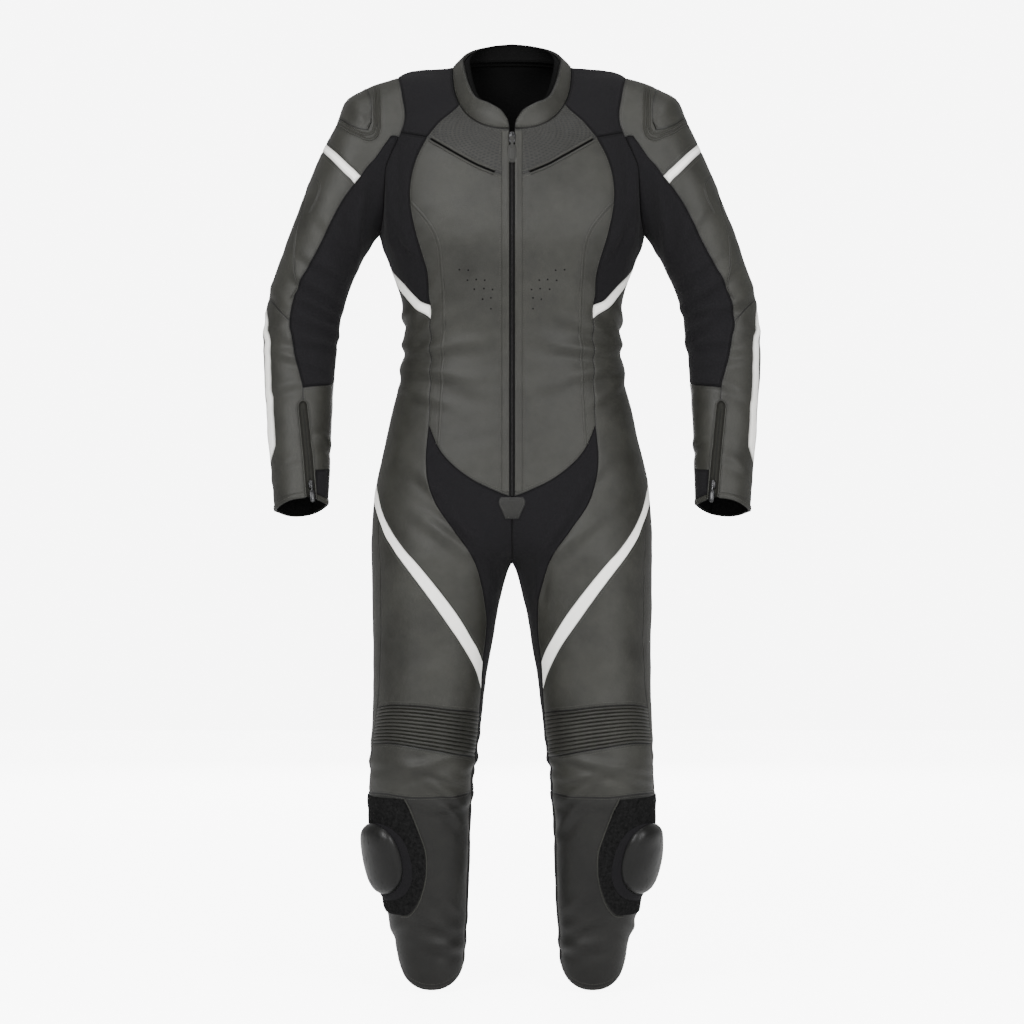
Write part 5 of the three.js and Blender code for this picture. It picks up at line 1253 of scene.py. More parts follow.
chest = Patch(body, neck_line(NECK_CHEST, NECK_FRONT), cut(opening, 0, 3), chest_foot, yoke_chest, FINE_STEP)
front_panel = Patch(body, chest_foot, cut(opening, 3, 14), front_foot, front_edge, FINE_STEP)
yoke = Patch(body, neck_line(NECK_YOKE_BACK, NECK_CHEST), chain(yoke_chest, yoke_side), armhole_front,
    yoke_back)
side_panel = Patch(
    body, chain(armhole_under[::-1], yoke_side[::-1]), cut(front_edge, 0, 6), torso_stripe_top[::-1],
    cut(side_back, 0, 3))
torso_stripe = Patch(body, torso_stripe_top, level(torso_stripe_top[-1], torso_stripe_foot[-1], 1),
                     torso_stripe_foot, level(torso_stripe_top[0], torso_stripe_foot[0], 1))
flank = Patch(
    body, torso_stripe_foot[::-1], chain(cut(front_edge, 7, 9), cut(crotch_front, 0, 8)), thigh_stripe_top,
    chain(cut(side_back, 4, 7), cut(hip_back, 0, 3)))
back_centre = level((0, -90), on_body(at_turn(-90, WAIST_CENTRE))[0], 9)
back_panel = Patch(body, neck_line(-90, NECK_YOKE_BACK), chain(yoke_back, side_back), waist_back, back_centre)
crotch = Patch(
    body, np.vstack([front_foot, crotch_centre[:1]]), chain(crotch_centre, crotch_back, seat_inner_side),
    knee_back_inner, chain(crotch_front, ribs_inner_side, knee_inner_side))
seat = Patch(
    body, np.vstack([seat_centre[:1], turned(waist_back, 360)[1:]]), turned(hip_back, 360), knee_back_middle,
    chain(seat_centre, crotch_back, seat_inner_side))
thigh_stripe = Patch(body, thigh_stripe_top, level(thigh_stripe_top[-1], thigh_stripe_foot[-1], 1),
                     thigh_stripe_foot, level(thigh_stripe_top[0], thigh_stripe_foot[0], 1))
thigh = Patch(body, cut(thigh_stripe_foot, 3, 12), cut(crotch_front, 9, 10), ribs_top,
    cut(thigh_side_seam, 0, 4))
thigh_side = Patch(
    body, cut(thigh_stripe_foot, 0, 3), thigh_side_seam, chain(knee_back_outer, knee_side_foot),
    cut(hip_back, 4, 9))
knee_ribs = Patch(body, ribs_top, ribs_inner_side, ribs_foot, cut(thigh_side_seam, 4, 5), rows=RIB_COUNT * 10)
knee = Patch(body, ribs_foot, knee_inner_side, knee_foot, cut(thigh_side_seam, 5, 7), FINE_STEP)
shin = Patch(body, chain(knee_side_foot, knee_foot), shin_inner_side, level(hem_back, hem_inner, 12),
    shin_outer_side,
             FINE_STEP)
calf = Patch(
    body, chain(knee_back_inner, knee_back_middle, turned(knee_back_outer, 360)),
    turned(shin_outer_side, 360),
    level(hem_inner, (body.last, 360 + OUTER_BACK), 9), shin_inner_side)

shoulder = Patch(
    sleeve, armhole_line(-ARMHOLE_STRETCH, ARMHOLE_STRETCH, sleeve), cut(arm_edge, 0, ARM_BAND_TOP), band_top,
    cut(arm_edge_back, 0, ARM_BAND_TOP), FINE_STEP)
arm_band = Patch(sleeve, band_top, level(band_top[-1], band_foot[-1], 1), band_foot,
                 level(band_top[0], band_foot[0], 1))
upper_arm = Patch(sleeve, band_foot, cut(arm_edge, ARM_BAND_FOOT, ARM_ELBOW), elbow_line,
    cut(arm_edge_back, ARM_BAND_FOOT, ARM_ELBOW))
forearm = Patch(
    sleeve, elbow_line, chain(cut(arm_edge, ARM_ELBOW, ARM_WRIST), wrist_seam, zip_outer_side),
    level((sleeve.last, CUFF_BACK - 360), (sleeve.last, ZIP_CUFF[0]), 12),
    chain(cut(arm_edge_back, ARM_ELBOW, ARM_WRIST), wrist_seam_back))
arm_stretch = Patch(
    sleeve, armhole_line(ARMHOLE_STRETCH, 360 - ARMHOLE_STRETCH, sleeve), turned(arm_edge_back, 360),
    stretch_foot,
    arm_edge)
wrist = Patch(
    sleeve, stretch_foot, turned(wrist_seam_back, 360),
    level((sleeve.last, ZIP_CUFF[1]), (sleeve.last, CUFF_BACK), 8),
    chain(wrist_seam, zip_inner_side))

rib_wave = np.abs(np.sin(np.pi * RIB_COUNT * knee_ribs.v))[None, :] ** 0.75
rib_height = RIB_HEIGHT * rib_wave * np.sin(np.pi * knee_ribs.u)[:, None] ** 0.35

PANELS = [
    # name, patch, material, slot, dip at the seams, extra values
    ("chest", chest, PERFORATED, "leather", 0.5, {}),
    ("front", front_panel, LEATHER, "leather", 0.5, {}),
    ("yoke", yoke, STRETCH, "stretch", 1.2, {}),
    ("side", side_panel, STRETCH, "stretch", 1.2, {}),
    ("torso_stripe", torso_stripe, WHITE, "white_leather", 0.9, {}),
    ("flank", flank, LEATHER, "leather", 0.5, {}),
    ("crotch", crotch, STRETCH, "stretch", 1.2, {}),
    ("seat", seat, LEATHER, "leather", 0.5, {}),
    ("thigh_stripe", thigh_stripe, WHITE, "white_leather", 0.9, {}),
    ("thigh", thigh, LEATHER, "leather", 0.5, {}),
    ("thigh_side", thigh_side, LEATHER, "leather", 0.5, {}),
    # painted shade: the knee ribs' grooves take the dark seam shade, their crests none
    ("knee_ribs", knee_ribs, LEATHER, "stretch", 0.9, {"raise_by": rib_height, "groove_shade": 0.9 + 9 * rib_wave}),
    ("knee", knee, LEATHER, "leather", 0.5, {}),
    ("shin", shin, DARK_LEATHER, "leather", 0.5, {}),
    ("calf", calf, STRETCH, "stretch", 1.2, {}),
    ("shoulder", shoulder, LEATHER, "leather", 0.5, {}),
    ("arm_band", arm_band, WHITE, "white_leather", 0.9, {}),
    ("upper_arm", upper_arm, LEATHER, "leather", 0.5, {}),
    ("forearm", forearm, LEATHER, "leather", 0.5, {}),
    ("arm_stretch", arm_stretch, STRETCH, "stretch", 1.2, {}),
    ("wrist", wrist, LEATHER, "leather", 0.5, {}),
]
for panel_name, panel_patch, panel_material, panel_slot, panel_dip, extra in PANELS:
    panel(panel_name, panel_patch, panel_material, panel_slot, dip=panel_dip, **extra)
joined_panel("back_panel", back_panel, LEATHER, WALL, 0.5, ("left",), "left", node_name="back")

neck_half = chain(
    neck_line(NECK_FRONT, NECK_CHEST, collar), neck_line(NECK_CHEST, NECK_YOKE_BACK, collar),
    neck_line(NECK_YOKE_BACK, -90, collar))
collar_top_edge = neck_half.copy()
collar_top_edge[:, 0], collar_top_edge[:, 2:] = 1, 0
collar_patch = Patch(
    collar, neck_half, level((0, -90), (1, -90), 3), collar_top_edge,
    level((0, NECK_FRONT), (1, NECK_FRONT), 3),
    FINE_STEP)
joined_panel("collar_leather", collar_patch, LEATHER, COLLAR_WALL, 0.9, ("right",), "right",
    0.35, "collar")
lining_foot = np.zeros_like(neck_half)
lining_foot[:, 1] = neck_half[:, 1]
lining_top = lining_foot + np.eye(8)[0]
lining_patch = Patch(
    lining, lining_foot, level((0, -90), (1, -90), 3), lining_top, level((0, NECK_FRONT), (1, NECK_FRONT), 3))
joined_panel(
    "neck_lining", lining_patch, LINING, LINING_WALL, 0.4, ("right",), "right", 0.2,
    "collar_lining")

# Small parts sewn or laid on the panels
def is_inside_out(points, faces):
    """Whether closed faces enclose a negative volume."""
    volume = 0.0
    for f in faces:
        for k in range(1, f.shape[1] - 1):
            a, b, c = points[f[:, 0]], points[f[:, k]], points[f[:, k + 1]]
            volume += np.einsum("ij,ij->i", a, np.cross(b, c)).sum()
    return volume < 0


CREST, FLANK = 9.0, 0.9  # stand-ins for the distance to a seam, on a trim's top and at its foot; the foot takes the painted seam shade


class Trim:
    """Small closed parts gathered into one piece for each side."""

    def __init__(self):
        self.points, self.faces, self.marks = ({1: [], -1: []} for _ in range(3))
        self.count = {1: 0, -1: 0}

    def add(self, side, part):
        points, faces, *marks = part
        self.marks[side].append(marks[0] if marks else np.full(len(points), CREST))
        middle = points.mean(0)
        if is_inside_out(points - middle, faces):
            faces = [f[:, ::-1] for f in faces]
        self.points[side].append(points)
        self.faces[side] += [f + self.count[side] for f in faces]
        self.count[side] += len(points)

    def make(self, name, material, slot, rides="suit", replaced=None, sides=SIDES, sharp=50):
        made = []
        for suffix, side in sides:
            points = np.vstack(self.points[side])
            faces = self.faces[side]
            if side < 0:
                points, faces = points * (-1, 1, 1), [f[:, ::-1] for f in faces]
            groups = {}
            for f in faces:
                groups.setdefault(f.shape[1], []).append(f)
            marks = {"edge_mm": np.concatenate(self.marks[side])}
            piece = make_mesh(
                name + suffix, points, [np.vstack(g) for g in groups.values()], [material], marks,
                sharp=sharp)
            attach(piece, rides if isinstance(rides, str) else rides[side])
            if replaced:
                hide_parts(replaced + suffix)
            made.append(piece)
        return made


def band(p, n, section):
    """A closed section of (offset across, height) carried along a line, with both ends shut."""
    run = unit(np.gradient(p, axis=0))
    across = unit(np.cross(n, run))
    section = np.asarray(section, float)
    rings = p[:, None] + across[:, None] * section[None, :, :1] + n[:, None] * section[None, :, 1:]
    count, corners = rings.shape[:2]
    i, j = np.meshgrid(np.arange(count - 1), np.arange(corners), indexing="ij")
    a, b = (i * corners + j).ravel(), (i * corners + (j + 1) % corners).ravel()
    first = np.arange(corners)[None]
    sides = np.stack([a, b, b + corners, a + corners], -1)
    # painted shade: the low corners of the section are marked as near a seam, so they take the dark seam
    # shade
    marks = np.tile(np.where(section[:, 1] > 0.3, CREST, FLANK), count)
    return rings.reshape(-1, 3), [sides, first[:, ::-1], first + (count - 1) * corners], marks


def even_steps(p, n, pitch):
    """Points, outward directions and directions of run at even steps along a line."""
    marks = np.concatenate([[0], np.cumsum(np.linalg.norm(np.diff(p, axis=0), axis=1))])
    count = max(1, int(marks[-1] / pitch))
    at = (np.arange(count) + 0.5) * marks[-1] / count

    def read(rows):
        return np.stack([np.interp(at, marks, column) for column in rows.T], -1)

    return read(p), unit(read(n)), unit(read(np.gradient(p, axis=0)))


def grains(p, n, pitch=3.6, length=2.7, width=1.05, height=0.6):
    """A row of stitches or teeth: pointed grains of eight faces, laid along a line."""
    p, n, run = even_steps(p, n, pitch)
    across = unit(np.cross(n, run))
    corners = np.array([
        # along, across, up
        [0.5 * length, 0, 0.05], [-0.5 * length, 0, 0.05], [0, 0.5 * width, 0.1], [0, -0.5 * width, 0.1],
        [0, 0, height], [0, 0, -0.3],
    ])
    points = p[:, None] + sum(v[:, None] * corners[None, :, k : k + 1] for k,
        v in enumerate((run, across, n)))
    faces = np.array([[0, 2, 4], [2, 1, 4], [1, 3, 4], [3, 0, 4], [2, 0, 5], [1, 2, 5], [3, 1, 5], [0, 3, 5]])
    return points.reshape(-1, 3), [(faces[None] + 6 * np.arange(len(p))[:, None, None]).reshape(-1, 3)]


def pebble(middle, axes, half, power=3.0, floor=None, rings=14, around=28):
    """A superellipsoid: |x/a|^p + |y/b|^p + |z/c|^p = 1, flattened below a floor."""
    low = np.linspace(-90, 90, rings + 2)[1:-1]
    a, b = np.meshgrid(np.radians(low), np.radians(np.arange(around) * 360 / around), indexing="ij")
    ca, sa, cb, sb = (signed_power(v, 2 / power) for v in (np.cos(a), np.sin(a), np.cos(b), np.sin(b)))
    points = np.stack([ca * cb, ca * sb, sa], -1).reshape(-1, 3)
    points = np.vstack([points, [[0, 0, -1], [0, 0, 1]]]) * np.asarray(half)
    if floor is not None:
        points[:, 2] = np.maximum(points[:, 2], floor)
    quads = [[i * around + j, i * around + (j + 1) % around, (i + 1) * around + (j + 1) % around,
        (i + 1) * around + j]
             for i in range(rings - 1) for j in range(around)]
    end = rings * around
    fans = [[end, (j + 1) % around, j] for j in range(around)]
    fans += [[end + 1, end - around + j, end - around + (j + 1) % around] for j in range(around)]
    return np.asarray(middle) + points @ np.asarray(axes), [np.array(quads), np.array(fans)]


def beside(name, side, edge, gap):
    """The line on a panel that keeps a distance from one of its edges, short of the edges it meets."""
    patch, outer, n = PATCHES[name, side]
    near, others = patch.near[edge], [patch.near[e] for e in patch.near if e != edge]
    stack = np.concatenate([outer, n, near[..., None], np.min(others, axis=0)[..., None]], -1)
    if edge in ("left", "right"):
        stack = stack.transpose(1, 0, 2)
    if edge in ("top", "right"):
        stack = stack[:, ::-1]
    k = np.clip((stack[..., 6] < gap).sum(1), 1, stack.shape[1] - 1)
    rows = np.arange(len(stack))
    low, high = stack[rows, k - 1], stack[rows, k]
    share = ((gap - low[:, 6]) / np.maximum(high[:, 6] - low[:, 6], 1e-6))[:, None]
    line = low + (high - low) * np.clip(share, 0, 1)
    line = line[line[:, 7] > min(gap, 2.2)]
    return line[:, :3], unit(line[:, 3:6])


def on_line(surface, side, line, lift=0.0):
    """Points on the softened surface along a line of (s, turn), with outward directions."""
    p, n = surface.at(line[:, 0], line[:, 1]), surface.normal(line[:, 0], line[:, 1])
    return p + n * (softness(surface, p, side) + lift)[:, None], n


def shifted(p, n, offset):
    """A line moved across itself within its surface."""
    return p + unit(np.cross(n, np.gradient(p, axis=0))) * offset, n


def sleeve_seam(*places):
    return trace(on_sleeve(*(front(x, z) for x, z in places)))


LAP = [(-3.8, -0.7), (-3.4, 0.15), (-2.5, 0.4), (-1.0, 0.75), (-0.1, 0.7), (0.35, 0.15), (0.4, -0.7)]
PLACKET = [(-10.4, -0.8), (-10.2, 0.9), (-9.3, 1.4), (-6, 1.15), (-3, 0.75), (-1.2, 0.95), (-0.2, 0.8),
    (0.25, 0.1), (0.3, -0.8)]
PRESSED = [(-2.4, -0.6), (-1.9, 0.1), (-1.2, 0.5), (-0.5, 0.15), (0, -0.1), (0.5, 0.15), (1.2, 0.5),
    (1.9, 0.1), (2.4, -0.6)]
PIPING = [(1.1 * math.cos(a), 0.35 + 1.1 * math.sin(a)) for a in np.radians(np.arange(0, 360, 40))]
LIP = [(1.7 * math.cos(a), 0.2 + 1.3 * math.sin(a)) for a in np.radians(np.arange(0, 360, 36))]
SLOT = [(-1.9, -0.8), (-1.9, 0.12), (1.9, 0.12), (1.9, -0.8)]
QUILTED = [(-3, -0.6), (-2.5, 0.5), (-1.6, 1.1), (-0.6, 0.5), (0, 0.1), (0.6, 0.5), (1.6, 1.1), (2.5, 0.5),
    (3, -0.6)]
BINDING = [(-4.4, -0.8), (-4.2, 0.2), (-3.4, 0.8), (0, 1.0), (3.4, 0.8), (4.2, 0.2), (4.4, -0.8)]

princess = seam(*(front(x, z) for x, z in (
    (144, -194), (129, -211), (114, -231), (106, -250), (102, -275), (98, -358), (100, -413), (104, -500),
    (106, -538))))
placket_edge = seam(*(front(14.4, z) for z in (-92, -120, -158, -200, -260, -330, -400, -470, -530, -604)))
vent = seam(*(front(x, z) for x, z in ((116, -102.5), (92, -117), (70, -130), (50, -141), (25, -151.5))))
patch_piping = seam(*(front(x, z) for x, z in (
    (152, -1042), (142, -1066), (131, -1096), (123.5, -1121), (122.5, -1150), (127, -1176), (135, -1199),
    (147, -1215),
    (160, -1218))))
arm_emboss = sleeve_seam((298, -152), (300, -190), (309, -228), (313, -265), (308, -307), (317, -329))
arm_emboss_short = sleeve_seam((286, -151), (276, -165), (279, -184), (290, -206))
cup_surround = sleeve_seam(
    (199, -21), (196.5, -42), (195.8, -64), (196.5, -82), (203, -91.5), (218, -90), (236, -81), (250, -71))
cup_border = sleeve_seam(
    (194.5, -20), (191.5, -42), (190.8, -66), (191.5, -88), (199, -98.5), (213, -97.5), (234, -87.5),
    (253, -76))
CUFF_EDGE = sleeve.last - 0.085
cuff_binding = level((CUFF_EDGE, ZIP_CUFF[1] + 3), (CUFF_EDGE, 360 + ZIP_CUFF[0] - 3), 12)
LINES = [
    # surface, line, section, offsets of the stitch rows
    (sleeve, cup_surround, QUILTED, ()),
    (sleeve, cup_border, QUILTED, (-4.0, 4.0)),
    (sleeve, cuff_binding, BINDING, (0.0,)),
    (body, princess, LAP, (-2.6, 2.6)),
    (body, placket_edge, PLACKET, (-3.0, 2.4)),
    (body, patch_piping, PIPING, (3.4,)),
    (sleeve, arm_emboss, PRESSED, ()),
    (sleeve, arm_emboss_short, PRESSED, ()),
]
STITCHED_EDGES = [
    # panel, edge, distances from it
    ("chest", "left", (2.4,)), ("chest", "bottom", (2.6,)), ("chest", "top", (4.6,)),
    ("front", "left", (2.4,)), ("front", "bottom", (4.6,)), ("front", "top", (2.4, 5.4)),
    ("flank", "right", (2.4,)), ("flank", "bottom", (2.4,)), ("flank", "top", (2.4, 5.2)),
    ("flank", "left", (2.4,)),
    ("thigh", "bottom", (2.4, 5.2)), ("thigh", "left", (2.4,)), ("thigh", "top", (2.4, 5.2)),
    ("thigh_side", "right", (2.4,)), ("thigh_side", "bottom", (2.4,)), ("thigh_side", "left", (2.4,)),
    ("knee", "bottom", (2.4, 5.2)), ("knee", "top", (2.4,)), ("shin", "bottom", (2.4,)),
    ("shin", "right", (2.4,)),
    ("shin", "left", (2.4,)), ("shin", "top", (3.4, 9.0)), ("calf", "top", (3.4, 9.0)),
    ("seat", "bottom", (2.4, 5.2)), ("seat", "left", (2.4,)), ("seat", "right", (2.4,)),
    ("back_panel", "right", (2.4,)), ("back_panel", "top", (2.4,)), ("back_panel", "bottom", (2.6,)),
    ("shoulder", "bottom", (2.4,)), ("shoulder", "top", (2.4, 5.2)), ("shoulder", "left", (2.4,)),
    ("shoulder", "right", (2.4,)), ("upper_arm", "bottom", (2.4, 5.2)), ("upper_arm", "left", (2.4,)),
    ("upper_arm", "right", (2.4,)), ("upper_arm", "top", (2.4,)), ("forearm", "right", (2.4,)),
    ("forearm", "left", (2.4,)), ("forearm", "bottom", (2.4,)), ("wrist", "left", (2.4,)),
    ("wrist", "bottom", (2.4,)),
    ("collar_leather", "bottom", (2.6,)), ("collar_leather", "top", (3.4,)),
]
CHEST_HOLES = [
    # x, z
    (74.7, -290), (62, -291), (63.4, -305), (50.7, -304), (38.6, -305), (53.4, -317.5), (39.9, -316.7),
    (27.7, -318),
    (41.6, -331.5), (29.9, -329.7), (29.9, -345),
]

stitching, slots_and_holes, trim_leather = Trim(), Trim(), Trim()
for suffix, side in SIDES:
    for name, edge, gaps in STITCHED_EDGES:
        for gap in gaps:
            p, n = beside(name, side, edge, gap)
            if len(p) > 3:
                stitching.add(side, grains(p, n))
    for surface, line, section, offsets in LINES:
        p, n = on_line(surface, side, line)
        trim_leather.add(side, band(p, n, section))
        for offset in offsets:
            q, m = shifted(p, n, offset)
            stitching.add(side, grains(q + m * (1.0 if offset == 0 else 0.5 if offset < 0 else 0), m))
    p, n = on_line(body, side, vent)
    slots_and_holes.add(side, band(p, n, SLOT))
    for offset in (-3.1, 3.1):
        trim_leather.add(side, band(*shifted(p, n, offset), LIP))
    holes = on_body(*(front(x, z) for x, z in CHEST_HOLES))
    p, n = on_line(body, side, holes)
    for centre, normal in zip(p, n):
        across = unit(np.cross(normal, (0, 0, 1)))
        slots_and_holes.add(side, pebble(centre, (across, np.cross(normal, across), normal),
            (1.25, 1.25, 0.35), 2, None, 3, 12))
stitching.make("stitching_", THREAD, "leather")
trim_leather.make("raised_seams_", LEATHER, "leather")
slots_and_holes.make("vent_slots_and_holes_", LINING, "stretch")

# Shoulder cup: a padded dome in rings of quilting
def round_arm(middle_s, *places):
    """A seam round the outer side of the sleeve, the same in front and behind."""
    half = trace(np.vstack([[[middle_s, 0]], on_sleeve(*(front(x, z) for x, z in places))]))
    return chain(behind(half)[::-1], half)


cup_top = round_arm(1.02, (203, -40), (201, -58), (201.5, -76))
cup_foot = round_arm(2.42, (249, -68), (236, -77), (220, -84.5), (206, -87))
cup = Patch(sleeve, cup_top, level(cup_top[-1], cup_foot[-1], 1), cup_foot,
    level(cup_top[0], cup_foot[0], 1), 2.6)
cup_edge = cup.edge()
cup_height = 0.9 + 1.4 * smooth(cup_edge / 1.2) + 5.6 * smooth((cup_edge - 6) / 26)
for ring in (3.2, 6.4, 9.8):
    cup_height = cup_height - 0.9 * np.exp(-(((cup_edge - ring) / 0.9) ** 2))
panel("shoulder_cup", cup, LEATHER, "leather", wall=1.6, dip=0.0, raise_by=cup_height - 1.2, lift=1.2)

# Loop patch and knee slider
patch_top = seam(at_turn(-16, -1042), at_turn(6, -1041), front(153.5, -1043))
patch_inner = seam(*(front(x, z) for x, z in (
    (153.5, -1043), (144, -1066), (133, -1096), (125.5, -1121), (124.5, -1150), (129, -1175), (137, -1197),
    (148, -1212),
    (158, -1215))))
patch_foot = seam(at_turn(-8, -1206), at_turn(4, -1214), front(158, -1215))
patch_outer = seam(at_turn(-16, -1042), at_turn(-22, -1100), at_turn(-22, -1150), at_turn(-8, -1206))
loop_area = Patch(body, patch_top, patch_inner, patch_foot, patch_outer)
panel("loop_patch", loop_area, LOOP, "hook_loop", wall=1.2, dip=0.3, lift=1.7)


def mound(surface, side, place, half_across, half_down, power, profile, lean, rings=18, around=72):
    """A dome over a superellipse on a surface; profile gives its height at shares of its radius."""
    s, turn = place
    step_s = np.linalg.norm(surface.at(s + 0.1, turn) - surface.at(s - 0.1, turn)) / 0.2
    step_turn = np.linalg.norm(surface.at(s, turn + 1) - surface.at(s, turn - 1)) / 2
    share = np.linspace(0, 1, rings + 1)[1:] ** 0.8
    angle = np.arange(around) * 2 * np.pi / around
    x = half_across * signed_power(np.cos(angle), 2 / power) * share[:, None]
    y = half_down * signed_power(np.sin(angle), 2 / power) * share[:, None]
    lean = math.radians(lean)
    x, y = x * math.cos(lean) - y * math.sin(lean), x * math.sin(lean) + y * math.cos(lean)
    grid_s, grid_turn = np.append((s + y / step_s).ravel(), s), np.append((turn + x / step_turn).ravel(),
        turn)
    p, n = surface.at(grid_s, grid_turn), surface.normal(grid_s, grid_turn)
    profile = np.asarray(profile, float)
    height = np.append(np.repeat(np.interp(share, *profile.T), around), profile[0, 1])
    soft = softness(surface, p, side)
    top, foot = p + n * (soft + height)[:, None], p + n * (soft + 0.5)[:, None]
    i, j = np.meshgrid(np.arange(rings - 1), np.arange(around), indexing="ij")
    a, b = (i * around + j).ravel(), (i * around + (j + 1) % around).ravel()
    quads = np.stack([a, b, b + around, a + around], -1)
    j = np.arange(around)
    fan = np.stack([np.full(around, rings * around), (j + 1) % around, j], -1)
    last = (rings - 1) * around
    start = len(top)
    rim = np.stack([last + j, last + (j + 1) % around, start + last + (j + 1) % around, start + last + j], -1)
    return np.vstack([top, foot]), [quads, fan, quads[:, ::-1] + start, fan[:, ::-1] + start, rim]


SLIDER_PROFILE = [
    # share of the radius, height
    (0, 18.6), (0.3, 18.3), (0.55, 17.5), (0.7, 16.4), (0.82, 14.3), (0.9, 11.6), (0.96, 8.0), (1, 5.0),
]
BASE_PROFILE = [(0, 4.2), (0.9, 4.2), (0.95, 3.6), (0.965, 3.2), (0.98, 3.5), (1, 2.4)]
slider_domes, slider_bases = Trim(), Trim()
puck = on_body(at_turn(29, -1130))[0]
for suffix, side in SIDES:
    slider_domes.add(side, mound(body, side, puck, 47, 54, 2.4, SLIDER_PROFILE, -7))
    slider_bases.add(side, mound(body, side, puck + (0.08, 5), 52, 60, 2.5, BASE_PROFILE, -7))
slider_domes.make("slider_puck_", PLASTIC, "hard_plastic", replaced="knee_slider_")
slider_bases.make("slider_base_", STRETCH, "hook_loop", replaced="knee_slider_")

# Stripe on the outer side of the forearm
stripe_inner = sleeve_seam((351.5, -343), (348, -370), (345, -401), (344, -438), (337, -526), (338, -543),
    (343.5, -562))
stripe_outer = sleeve_seam((354, -346), (355.5, -372), (355, -401), (353.5, -438), (350.5, -500),
    (348, -535), (344.5, -562))
arm_flash = Patch(sleeve, level(stripe_outer[0], stripe_inner[0], 1), stripe_inner,
                  level(stripe_outer[-1], stripe_inner[-1], 1), stripe_outer)
panel("arm_stripe", arm_flash, WHITE, "white_leather", wall=1.0, dip=0.2, lift=1.2)

# Tab under the zip
tab_half = seam(*(front(x, z) for x,
    z in ((15.5, -612.5), (18.6, -617), (18.4, -623), (14, -633), (9.5, -643.5))))
tab_top = seam(front(0.05, -612.5), front(15.5, -612.5))
tab_foot = seam(front(0.05, -643.5), front(9.5, -643.5))
tab_centre = seam(*(front(0.05, z) for z in (-612.5, -620, -632, -643.5)))
tab = Patch(body, tab_top, tab_half, tab_foot, tab_centre, 2.6)
joined_panel("zip_end_tab", tab, DARK_LEATHER, 1.4, 0.4, ("left",), "left", node_name="zip_tab",
    lift=1.9)

tab_sewing = Trim()
for suffix, side in SIDES:
    for tab_side in ("right", "top", "bottom"):
        p, n = beside("zip_end_tab", side, tab_side, 2.6)
        tab_sewing.add(side, grains(p, n, 3.0, 2.0, 0.9))
tab_sewing.make("tab_sewing_", THREAD, "leather")

# Black insert in the wrist, beside the foot of its zip
insert_corner = on_sleeve(front(280, -574))[0]
insert_inner = on_sleeve(front(262.5, -572))[0]
insert_end = sleeve.last - 0.16
wrist_insert = Patch(
    sleeve, level(insert_corner, insert_inner, 2), level(insert_inner, (insert_end, insert_inner[1]), 2),
    level((insert_end, insert_corner[1]), (insert_end, insert_inner[1]), 2),
    level(insert_corner, (insert_end, insert_corner[1]), 2), 2.6)
for suffix, side in SIDES:
    soft = softness(sleeve, wrist_insert.p, side)
    outer, inner = (wrist_insert.p + wrist_insert.n * (soft + h)[..., None] for h in (0.9, -0.4))
    piece = wall_mesh(
        f"wrist_insert_{suffix}", outer, inner, side, [STRETCH, LINING], {"edge_mm": wrist_insert.edge()})
    place = wrist_insert.place
    own_map(piece, np.concatenate([place.reshape(-1, 2), place[::2, ::2].reshape(-1, 2)]), sleeve, side)
    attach(piece, "suit")

# Front zip: tape, coil, slider and pull
zip_places = trace(np.stack([settle(lambda v: body_at(v, 90.0)[..., 2] - np.linspace(-92, -611, 28), 28,
    body.last), np.full(28, 90.0)], -1))
zip_line, zip_out = on_line(body, 1, zip_places)
zip_line[:, 0], zip_out[:, 0] = 0, 0
tape, coil, slider, puller = Trim(), Trim(), Trim(), Trim()
tape.add(1, band(zip_line, unit(zip_out),
    [(-4.6, -2.2), (-4.6, -1.0), (-1.9, -0.9), (-1.5, -0.5), (1.5, -0.5), (1.9, -0.9), (4.6, -1.0),
    (4.6, -2.2)]))
coil.add(1, grains(zip_line - unit(zip_out) * 0.5, unit(zip_out), 1.7, 1.3, 3.2, 0.5))
MIDDLE = (("", 1),)


def zip_slider(at, out, down, long=13.0, wide=8.0):
    """A slider: a waisted body, a bridge over it and two cheeks."""
    across = unit(np.cross(out, down))
    axes = (across, -down, out)
    return [
        pebble(at + out * 1.4, axes, (wide / 2, long / 2, 2.2), 3.4),
        pebble(at + out * 3.6, axes, (wide / 5, long / 2.4, 1.5), 3.2),
        pebble(at + out * 3.4 - down * long * 0.36, axes, (wide / 2.6, 1.6, 1.6), 2.6),
    ]


def zip_pull(at, out, down, long, wide):
    """A pull: a ring through the bridge, a neck and a moulded grip."""
    across = unit(np.cross(out, down))
    axes = (across, -down, out)
    return [
        pebble(at + down * long * 0.04, axes, (wide * 0.3, long * 0.09, 1.1), 2.6),
        pebble(at + down * long * 0.2, axes, (wide * 0.17, long * 0.16, 0.9), 3.0),
        pebble(at + down * long * 0.64, axes, (wide * 0.5, long * 0.36, 1.7), 3.6),
        pebble(at + down * long * 0.64 + out * 1.2, axes, (wide * 0.34, long * 0.27, 1.1), 3.6),
    ]


main_at = np.array([0, -105.35, -101.75])
main_out = unit(np.array([0, -0.97, 0.2]))
main_down = unit(np.array([0, -0.12, -1.0]))
main_out = unit(np.cross(np.cross(main_down, main_out), main_down))
for part in zip_slider(main_at - main_out * 4.0, main_out, main_down, 17, 9.5):
    slider.add(1, part)
for part in zip_pull(main_at + main_out * 0.6, main_out, main_down, 37, 12.5):
    puller.add(1, part)
for trim, name, material in ((tape, "zip_tape", TAPE), (coil, "zip_coil", COIL),
        (slider, "zip_slider_body", METAL)):
    trim.make(name, material, "zip_metal", sides=MIDDLE, replaced="zip")
puller.make("zip_pull_grip", RUBBER, "zip_metal", rides="main_pull", sides=MIDDLE, replaced="pull")

